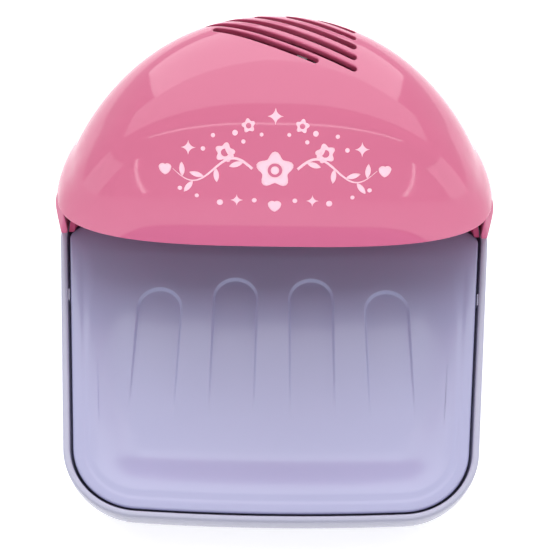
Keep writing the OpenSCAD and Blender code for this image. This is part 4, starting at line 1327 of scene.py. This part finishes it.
        def in_fitting(corners: Array) -> Array:
            """Picks the faces whose corners all lie in the boxes round the fittings.

            Args:
                corners: The faces' corners in millimetres.

            Returns:
                A truth value for each face.
            """
            x, y, z = np.abs(corners[..., 0]), corners[..., 1], corners[..., 2]
            ear = (x > self.ear_x[0]) & (x < self.ear_x[1]) & (z < self.ear_top)
            ear &= np.abs(y - self.ear_y) < self.ear_half
            post = np.hypot(x - self.post_x, y - self.post_y) < self.post_r
            post &= z < self.dish(y) - self.post_under
            striker = (x < self.striker_half[0]) & (z < self.striker_top)
            striker &= np.abs(y - self.striker_y) < self.striker_half[1]
            return ear.all(1) | post.all(1) | striker.all(1)

        piece = cad_copy("press_tray", "tray_fittings", in_fitting)
        spots = np.zeros(len(piece.data.vertices) * 3)
        piece.data.vertices.foreach_get("co", spots)
        spots = spots.reshape(-1, 3) / MM
        reach = np.hypot(np.abs(spots[:, 0]) - self.post_x, spots[:, 1] - self.post_y)
        top = (reach < self.post_r) & (spots[:, 2] > self.post_top() - self.post_face)
        spots[top, 2] = self.post_top() + self.post_sink
        piece.data.vertices.foreach_set("co", (spots * MM).ravel())
        return rounded(piece, self.rounding, 60, 1)


@dataclass(frozen=True)
class TraySpring:
    """A coil spring round a post of the tray, with its end turns closed."""

    side: int
    x: float
    y: float
    radius: float = 3.4
    wire: float = 0.3
    turns: float = 5.0
    closed: float = 0.12
    turn_points: int = 40
    round_points: int = 10
    low: float = 3.6

    def build(self, high: float) -> bpy.types.Object:
        """The wire: a circle carried along a helix whose pitch eases to nothing at the ends.

        Args:
            high: Height of the spring's top in millimetres.

        Returns:
            The spring.
        """
        s = np.linspace(0, 1, int(self.turns * self.turn_points) + 1)
        a = 2 * math.pi * self.turns * s
        rise = np.interp(s, [0, self.closed, 1 - self.closed, 1], [0, 0.02, 0.98, 1])
        z = self.low + self.wire + (high - self.low - 2 * self.wire) * rise
        path = np.stack([self.radius * np.cos(a), self.radius * np.sin(a), z], -1)
        run = np.gradient(path, axis=0)
        run /= np.linalg.norm(run, axis=1, keepdims=True)
        out = np.stack([np.cos(a), np.sin(a), np.zeros_like(a)], -1)
        up = np.cross(run, out)
        turn = np.linspace(0, 2 * math.pi, self.round_points, endpoint=False)[:, None]
        around = out[:, None] * np.cos(turn) + up[:, None] * np.sin(turn)
        tube = (path[:, None] + self.wire * around + [self.x, self.y, 0]) * [self.side, 1, 1]
        skin = Skin()
        numbers = skin.add(tube)
        skin.grid(numbers, closed=True)
        skin.fan(numbers[0])
        skin.fan(numbers[-1])
        return skin.build(f"tray_spring_{'right' if self.side > 0 else 'left'}_wire")


# ---------------------------------------------------------------- finishes


def node(tree: bpy.types.NodeTree, kind: str, *feeds: bpy.types.NodeSocket | float | None,
         **values: object) -> bpy.types.Node:
    """Adds a shader node with its values and what feeds it.

    Args:
        tree: The node tree.
        kind: The node's type without the word ShaderNode.
        *feeds: For each of the node's first inputs a socket, a number, or None for neither.
        **values: Properties of the node, or inputs where the name is one of them, as sockets or
            values. An underscore stands for a space.

    Returns:
        The node.
    """
    made = tree.nodes.new(f"ShaderNode{kind}")
    named = []
    for key, value in values.items():
        label = key.replace("_", " ")
        if label in made.inputs:
            named.append((made.inputs[label], value))
        else:
            setattr(made, key, value)
    for socket, value in [*zip(made.inputs, feeds), *named]:
        if isinstance(value, bpy.types.NodeSocket):
            tree.links.new(value, socket)
        elif value is not None:
            socket.default_value = value
    return made


def shared_group(name: str, **extra: float | Sequence[float]) -> Group:
    """Makes an empty shader group with the sockets that every finish has.

    Its inputs are Colour, Shade and Roughness, its outputs Colour, Roughness and Normal.

    Args:
        name: Name of the group.
        **extra: Further inputs with their defaults, a number or a vector.

    Returns:
        The group, what it is given, and the sockets that take its results.
    """
    group = bpy.data.node_groups.new(name, "ShaderNodeTree")
    grey = (0.8, 0.8, 0.8, 1.0)
    for label, value in {"Colour": grey, "Shade": grey, "Roughness": 0.3, **extra}.items():
        kind = "Float" if isinstance(value, float) else "Color" if len(value) == 4 else "Vector"
        socket = group.interface.new_socket(label, in_out="INPUT", socket_type=f"NodeSocket{kind}")
        socket.default_value = value
    for label, kind in (("Colour", "Color"), ("Roughness", "Float"), ("Normal", "Vector")):
        group.interface.new_socket(label, in_out="OUTPUT", socket_type=f"NodeSocket{kind}")
    given, results = group.nodes.new("NodeGroupInput"), group.nodes.new("NodeGroupOutput")
    return group, given.outputs, results.inputs


class Effects:
    """The shader groups that several finishes share."""

    def __init__(self) -> None:
        """Builds each group once."""
        self.moulded = self.make_moulded()
        self.drawn = self.make_drawn()

    @staticmethod
    def close(made: Group, cloud: bpy.types.Node, roughness: bpy.types.Node,
              height: bpy.types.Node) -> bpy.types.NodeTree:
        """Links what a group has worked out to its outputs.

        Args:
            made: The group and its sockets.
            cloud: A texture that mixes Colour and Shade.
            roughness: Puts out the roughness.
            height: Puts out the relief in millimetres, which a bump turns into the normal.

        Returns:
            The group.
        """
        group, given, results = made
        mix = node(group, "Mix", data_type="RGBA", Factor=cloud.outputs["Fac"])
        group.links.new(given["Colour"], mix.inputs[6])
        group.links.new(given["Shade"], mix.inputs[7])
        bump = node(group, "Bump", Strength=1.0, Distance=MM, Height=height.outputs[0])
        for label, source in (("Colour", mix.outputs[2]), ("Roughness", roughness.outputs[0]),
                              ("Normal", bump.outputs["Normal"])):
            group.links.new(source, results[label])
        return group

    def make_moulded(self) -> bpy.types.NodeTree:
        """Moulded plastic: faint clouds in the colour, flow marks, a fine grain and scuffs.

        Returns:
            The group, whose Spread, Grain and Wave say how strong scuffs, grain and flow are.
        """
        made = shared_group("moulded_plastic", Spread=0.05, Grain=0.1, Wave=0.0)
        group, given, _ = made
        place = node(group, "TexCoord").outputs["Object"]
        cloud = node(group, "TexNoise", Vector=place, Scale=22.0, Detail=3.0, Roughness=0.5)
        fine = node(group, "TexNoise", Vector=place, Scale=2600.0, Detail=2.0, Roughness=0.6)
        flow = node(group, "TexNoise", Vector=place, Scale=9.0, Detail=1.0, Distortion=0.6)
        scuff = node(group, "TexNoise", Vector=place, Scale=160.0, Detail=5.0, Roughness=0.7,
                     Distortion=1.4)
        centred = node(group, "Math", scuff.outputs["Fac"], 0.5, operation="SUBTRACT")
        rough = node(group, "Math", centred.outputs[0], given["Spread"], given["Roughness"],
                     operation="MULTIPLY_ADD")
        wave = node(group, "Math", flow.outputs["Fac"], given["Wave"], operation="MULTIPLY")
        height = node(group, "Math", fine.outputs["Fac"], given["Grain"], wave.outputs[0],
                      operation="MULTIPLY_ADD")
        return self.close(made, cloud, rough, height)

    def make_drawn(self) -> bpy.types.NodeTree:
        """Drawn or ground metal: streaks along one axis and faint stains.

        Returns:
            The group, whose Stretch draws the streaks out and whose Streak is their relief.
        """
        made = shared_group("drawn_metal", Stretch=(1.0, 1.0, 0.05), Streak=0.02)
        group, given, _ = made
        place = node(group, "TexCoord").outputs["Object"]
        along = node(group, "VectorMath", place, given["Stretch"], operation="MULTIPLY")
        streak = node(group, "TexNoise", Vector=along.outputs[0], Scale=3200.0, Detail=3.0)
        stain = node(group, "TexNoise", Vector=place, Scale=210.0, Detail=4.0, Roughness=0.65)
        duller = 0.16
        rough = node(group, "Math", streak.outputs["Fac"], duller, given["Roughness"],
                     operation="MULTIPLY_ADD")
        height = node(group, "Math", streak.outputs["Fac"], given["Streak"], operation="MULTIPLY")
        return self.close(made, stain, rough, height)


def linear(colour: Colour) -> tuple[float, float, float, float]:
    """Turns a colour seen on screen into the shader's linear values, by the screen's curve.

    Args:
        colour: Red, green and blue, 0 to 255.

    Returns:
        The linear colour and a full alpha.
    """
    c = np.array(colour) / 255
    c = np.where(c <= 0.04045, c / 12.92, ((c + 0.055) / 1.055) ** 2.4)
    return (*[float(v) for v in c], 1.0)


@dataclass(frozen=True)
class Finish:
    """What every finish has: its colour on screen, a second one that clouds it, its polish."""

    name: str
    colour: Colour
    shade: Colour
    roughness: float

    def material(self, effect: bpy.types.NodeTree, values: dict[str, object],
                 shader: dict[str, float]) -> bpy.types.Material:
        """Makes the material.

        Args:
            effect: The shader group behind it.
            values: What the group is given beside colour, shade and roughness.
            shader: Inputs of the Principled shader.

        Returns:
            The material.
        """
        material = bpy.data.materials.new(self.name)
        material.use_nodes = True
        tree = material.node_tree
        principled = tree.nodes["Principled BSDF"].inputs
        group = node(tree, "Group", node_tree=effect, Colour=linear(self.colour),
                     Shade=linear(self.shade), Roughness=self.roughness, **values)
        for label, source in (("Base Color", "Colour"), ("Roughness", "Roughness"),
                              ("Normal", "Normal")):
            tree.links.new(group.outputs[source], principled[label])
        for label, value in shader.items():
            principled[label].default_value = value
        return material


@dataclass(frozen=True)
class Plastic(Finish):
    """A moulded plastic, by how it was polished."""

    spread: float
    grain: float
    wave: float = 0.0
    coat: float = 0.0
    coat_roughness: float = 0.04

    def make(self, effects: Effects) -> bpy.types.Material:
        """The material, from the shared moulded group."""
        return self.material(effects.moulded,
                             {"Spread": self.spread, "Grain": self.grain, "Wave": self.wave},
                             {"Coat Weight": self.coat, "Coat Roughness": self.coat_roughness})


@dataclass(frozen=True)
class Metal(Finish):
    """A drawn, turned or plated metal, by the way of its streaks."""

    stretch: tuple[float, float, float] = (1.0, 1.0, 0.05)
    streak: float = 0.01

    def make(self, effects: Effects) -> bpy.types.Material:
        """The material, from the shared drawn-metal group."""
        return self.material(effects.drawn, {"Stretch": self.stretch, "Streak": self.streak},
                             {"Metallic": 1.0})


FINISHES: dict[str, Plastic | Metal] = {
    "pink_hood": Plastic("gloss_pink", (204, 103, 138), (201, 98, 133), 0.07, 0.03, 0.0004, 0.05,
                         0.1),
    # painted light: a brighter copy of the hood's pink on the slot walls and the underside, which
    # stands for light in the slots and light bounced under the hood
    "slot_pink": Plastic("lit_slot_pink", (248, 104, 150), (242, 98, 144), 0.3, 0.08, 0.004),
    "pink_liner": Plastic("satin_rose", (214, 84, 128), (206, 76, 120), 0.34, 0.1, 0.006, 0.05),
    "pink_grille": Plastic("rose_grille", (216, 96, 138), (208, 88, 130), 0.36, 0.1, 0.006),
    "lilac_base": Plastic("gloss_lilac", (192, 192, 216), (187, 187, 212), 0.26, 0.08, 0.002, 0.05,
                          0.2),
    # painted shade: a deeper, bluer lilac on the bowl's inner wall and the tray's skirt that stands
    # for the shade in the gap between them
    "bowl_inside": Plastic("gap_shade_lilac", (160, 138, 246), (152, 130, 240), 0.40, 0.1, 0.004),
    "lilac_tray": Plastic("satin_lilac", (181, 182, 220), (176, 177, 216), 0.24, 0.06, 0.002, 0.10,
                          0.15),
    "lilac_door": Plastic("door_lilac", (194, 194, 224), (188, 188, 220), 0.34, 0.1, 0.004),
    "fan_white": Plastic("fan_white", (232, 232, 236), (224, 224, 228), 0.42, 0.1, 0.006),
    "black_plastic": Plastic("black_plastic", (34, 34, 37), (28, 28, 30), 0.46, 0.14, 0.01),
    "bracket_plastic": Plastic("bracket_white", (220, 220, 224), (210, 210, 214), 0.48, 0.1, 0.008),
    "cell_jacket": Plastic("cell_film", (44, 66, 112), (40, 60, 104), 0.24, 0.06, 0.001, 0.0, 0.4),
    "plunger_red": Plastic("plunger_red", (190, 36, 38), (178, 30, 34), 0.3, 0.08, 0.004),
    "sleeve_red": Plastic("red_sleeve", (186, 34, 36), (172, 28, 32), 0.42, 0.1, 0.006),
    "sleeve_black": Plastic("black_sleeve", (32, 32, 34), (26, 26, 28), 0.42, 0.1, 0.006),
    "foot_rubber": Plastic("foot_rubber", (48, 48, 50), (40, 40, 42), 0.74, 0.16, 0.03),
    "shaft_steel": Metal("ground_steel", (206, 207, 210), (190, 191, 196), 0.16),
    "can_steel": Metal("plated_can", (196, 198, 202), (176, 178, 184), 0.26),
    "screw_steel": Metal("zinc_plate", (200, 202, 206), (176, 178, 182), 0.3, (1.0, 1.0, 1.0)),
    "contact_nickel": Metal("nickel_plate", (206, 202, 190), (186, 182, 170), 0.22,
                            (1.0, 0.05, 1.0)),
    "terminal_brass": Metal("tinned_brass", (214, 190, 120), (196, 170, 104), 0.3,
                            (0.05, 1.0, 1.0)),
    "spring_steel": Metal("spring_wire", (196, 197, 202), (170, 172, 178), 0.26, (1.0, 1.0, 1.0)),
}
INK = Plastic("pale_ink", (250, 200, 216), (247, 194, 212), 0.42, 0.1, 0.006)


# ---------------------------------------------------------------- pieces on their bodies


@dataclass
class Dresser:
    """Puts finishes on pieces and sets them on their bodies."""

    effects: Effects
    made: dict[str, bpy.types.Material] = field(default_factory=dict)
    # the bowl and the tray take the painted gap shade as their second finish
    # the hood takes the painted slot light as its second finish
    inner: dict[str, str] = field(default_factory=lambda: {
        "base_bowl": "bowl_inside", "tray": "bowl_inside", "hood": "slot_pink"})

    def finish(self, slot: str) -> bpy.types.Material:
        """Finds a finish, and makes it at its first use.

        Args:
            slot: The record's material slot, or the name of a second finish, the painted gap shade
                and the painted slot light.

        Returns:
            The material.
        """
        if slot not in self.made:
            self.made[slot] = FINISHES[slot].make(self.effects)
        return self.made[slot]

    def dress(self, piece: bpy.types.Object, body: Body, slot: str, *nodes: str,
              material: bpy.types.Material | None = None) -> bpy.types.Object:
        """Gives a piece its finish and its body, and hides the CAD nodes that it stands for.

        Args:
            piece: The piece.
            body: The body that it rides on.
            slot: The record's material slot.
            *nodes: CAD nodes that it replaces.
            material: A finish of its own, where it isn't the slot's.

        Returns:
            The piece.
        """
        piece.data.materials.clear()
        piece.data.materials.append(material or self.finish(slot))
        if piece.name in self.inner:
            piece.data.materials.append(self.finish(self.inner[piece.name]))
        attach(piece, body.value)
        if nodes:
            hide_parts(*nodes)
        log.info("%s: %d faces, on %s", piece.name, len(piece.data.polygons), body.value)
        return piece


@dataclass(frozen=True)
class Fittings:
    """The parts that keep their CAD form, copied so that their round faces shade smooth."""

    rounding: float = 0.12
    crisp: float = 50.0
    sharp: float = 32.0
    lead_sharp: float = 75.0
    unrounded: tuple[str, ...] = ("fan_impeller", "contact_bridge", "contact_spring")

    def build(self, dresser: Dresser) -> None:
        """Copies, rounds and dresses each part.

        Args:
            dresser: Gives each part its finish and its body.
        """
        record = frame["record"]
        bodies = {n: b for b, members in record["behaviour"]["bodies"].items() for n in members}
        slots = {s["node"]: s["material_slot"] for s in record["subparts"]}
        for name in sorted(frame["nodes"]):
            if frame["nodes"][name].hide_render:
                continue
            lead = name.startswith("wire_")
            piece = cad_copy(name, f"{name}_part", sharp=self.lead_sharp if lead else self.sharp)
            if not lead and name not in self.unrounded:
                rounded(piece, self.rounding, self.crisp)
            dresser.dress(piece, Body(bodies[name]), slots[name], name)


# ---------------------------------------------------------------- stage


@dataclass(frozen=True)
class PhotoCamera:
    """The photograph's view: high in front, with a slight roll."""

    aim: tuple[float, float, float] = (0.42, 10.29, 18.0)
    elevation: float = 58.9
    distance: float = 556.3
    lens: float = 119.35
    roll: float = 0.78

    def build(self) -> None:
        """Makes the camera."""
        a, r = math.radians(self.elevation), math.radians(self.roll)
        back = Vector((0, -math.cos(a), math.sin(a)))
        right, up = Vector((1, 0, 0)), Vector((0, math.sin(a), math.cos(a)))
        across = right * math.cos(r) + up * math.sin(r)
        above = up * math.cos(r) - right * math.sin(r)
        data = bpy.data.cameras.new("photo_camera")
        data.lens = self.lens
        data.clip_start = 0.01
        camera = bpy.data.objects.new("photo_camera", data)
        bpy.context.scene.collection.objects.link(camera)
        turn = Matrix((across, above, back)).transposed().to_4x4()
        place = Vector(self.aim) * MM + back * self.distance * MM
        camera.matrix_world = Matrix.Translation(place) @ turn
        bpy.context.scene.camera = camera


@dataclass(frozen=True)
class SoftBox:
    """A rectangular lamp, aimed at a point."""

    name: str
    place: tuple[float, float, float]
    aim: tuple[float, float, float]
    size: tuple[float, float]
    radiance: float
    mirrored: bool = True
    lean: float = 0.0

    def build(self) -> bpy.types.Object:
        """Makes the lamp, places and sizes in metres: power is pi times area times radiance.

        Returns:
            The lamp.
        """
        data = bpy.data.lights.new(self.name, "AREA")
        data.shape = "RECTANGLE"
        data.size, data.size_y = self.size
        data.energy = math.pi * self.size[0] * self.size[1] * self.radiance
        lamp = bpy.data.objects.new(self.name, data)
        bpy.context.scene.collection.objects.link(lamp)
        way = (Vector(self.place) - Vector(self.aim)).to_track_quat("Z", "Y").to_matrix()
        turn = way @ Matrix.Rotation(math.radians(self.lean), 3, "Z")
        lamp.matrix_world = Matrix.Translation(self.place) @ turn.to_4x4()
        lamp.visible_glossy = self.mirrored
        return lamp


@dataclass(frozen=True)
class Studio:
    """Pale floor, white surroundings and soft lamps."""

    floor_half: float = 2.0
    floor_colour: tuple[float, float, float, float] = (0.86, 0.86, 0.87, 1.0)
    floor_roughness: float = 0.9
    floor_lift: float = 0.62
    surround: float = 0.28
    low_band: float = 0.5
    band_z: tuple[float, float] = (0.12, 0.42)
    lamps: tuple[SoftBox, ...] = (
        SoftBox("left_box", (-0.92, -0.41, 0.26), (0, 0, 0.10), (0.60, 0.54), 0.95),
        SoftBox("right_box", (0.92, -0.41, 0.26), (0, 0, 0.10), (0.60, 0.54), 1.15),
        SoftBox("top_box", (0.0, 0.34, 1.2), (0, 0.34, 0.03), (3.2, 0.88), 1.17),
        SoftBox("back_box", (0.0, 1.13, 0.87), (0, 0, 0.02), (2.4, 1.03), 2.15),
        SoftBox("arch_line", (0.0, -0.55, 1.2), (0, -0.55, 0), (1.8, 0.05), 3.0),
        SoftBox("left_line", (-0.56, -0.90, 0.36), (0, 0, 0.05), (0.03, 0.70), 3.6, lean=33.0),
        SoftBox("right_line", (0.56, -0.90, 0.36), (0, 0, 0.05), (0.03, 0.70), 3.6, lean=-33.0),
    )
    hood_fill: SoftBox = SoftBox("hood_fill", (0.0, -1.15, 0.35), (0, 0, 0.05), (2.0, 0.5), 3.1,
                                 False)

    def build(self) -> None:
        """Makes the floor, the world and the lamps."""
        self.floor()
        world = bpy.data.worlds.new("surround")
        bpy.context.scene.world = world
        world.use_nodes = True
        tree = world.node_tree
        shade = tree.nodes["Background"].inputs
        shade["Color"].default_value = (1, 1, 1, 1)
        way = node(tree, "SeparateXYZ", node(tree, "TexCoord").outputs["Generated"])
        low, high = self.band_z
        band = node(tree, "MapRange", interpolation_type="SMOOTHSTEP", Value=way.outputs["Z"],
                    From_Min=low, From_Max=high, To_Min=self.surround + self.low_band,
                    To_Max=self.surround)
        white = 1.0
        strength = node(tree, "Mix", self.seen(tree), None, band.outputs[0], white,
                        data_type="FLOAT")
        tree.links.new(strength.outputs[0], shade["Strength"])
        for lamp in self.lamps:
            lamp.build()
        fill = self.hood_fill.build()
        fill.light_linking.receiver_collection = bpy.data.collections.new("hood_lit_by_fill")

    @staticmethod
    def seen(tree: bpy.types.NodeTree) -> bpy.types.NodeSocket:
        """Tells rays that show the stage as it is from those that light the object.

        Args:
            tree: Gets the nodes.

        Returns:
            A socket that is 1 for a ray from the camera, off gloss or through glass.
        """
        path = node(tree, "LightPath").outputs
        either = path["Is Camera Ray"]
        for label in ("Is Glossy Ray", "Is Transmission Ray"):
            either = node(tree, "Math", either, path[label], operation="MAXIMUM").outputs[0]
        return either

    def floor(self) -> None:
        """A pale level floor that shows as white and keeps the object's shadow."""
        h = self.floor_half
        mesh = bpy.data.meshes.new("floor")
        mesh.from_pydata([(-h, -h, 0), (h, -h, 0), (h, h, 0), (-h, h, 0)], [], [(0, 1, 2, 3)])
        floor = bpy.data.objects.new("floor", mesh)
        bpy.context.scene.collection.objects.link(floor)
        material = bpy.data.materials.new("pale_floor")
        material.use_nodes = True
        tree = material.node_tree
        shader = tree.nodes["Principled BSDF"].inputs
        shader["Base Color"].default_value = self.floor_colour
        shader["Roughness"].default_value = self.floor_roughness
        shader["Specular IOR Level"].default_value = 0.0
        shader["Emission Color"].default_value = (1, 1, 1, 1)
        lift = node(tree, "Math", self.seen(tree), self.floor_lift, operation="MULTIPLY")
        tree.links.new(lift.outputs[0], shader["Emission Strength"])
        mesh.materials.append(material)


def main() -> None:
    """Builds the pieces in order, dresses them and sets the stage."""
    logging.basicConfig(level=logging.INFO, format="%(name)s: %(message)s")
    bpy.context.scene.view_settings.view_transform = "Standard"
    PhotoCamera().build()
    Studio().build()
    dresser = Dresser(Effects())
    hood, base, tray = Hood(), Base(), PressTray()
    shell = dresser.dress(hood.shell(), Body.HOUSING, "pink_hood", "hood_shell")
    dresser.dress(hood.posts(), Body.HOUSING, "pink_hood", "hood_shell")
    ink = dresser.dress(HoodPrint().build(), Body.HOUSING, "pink_hood",
                        material=INK.make(dresser.effects))
    for lit in (shell, ink):
        bpy.data.collections["hood_lit_by_fill"].objects.link(lit)
    dresser.dress(base.bowl(), Body.HOUSING, "lilac_base", "base_shell")
    dresser.dress(base.fittings(), Body.HOUSING, "lilac_base", "base_shell")
    dresser.dress(tray.build(), Body.TRAY, "lilac_tray", "press_tray")
    dresser.dress(tray.fittings(), Body.TRAY, "lilac_tray", "press_tray")
    for side, name in ((1, "tray_spring_right"), (-1, "tray_spring_left")):
        low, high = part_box(name)
        log.info("%s: top %.2f mm in the CAD, %.2f mm here", name, high.z / MM, tray.post_top())
        wire = TraySpring(side, tray.post_x, tray.post_y).build(tray.post_top())
        dresser.dress(wire, Body.HOUSING, "spring_steel", name)
        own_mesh(wire)
    Fittings().build(dresser)


if __name__ == "__main__":
    main()
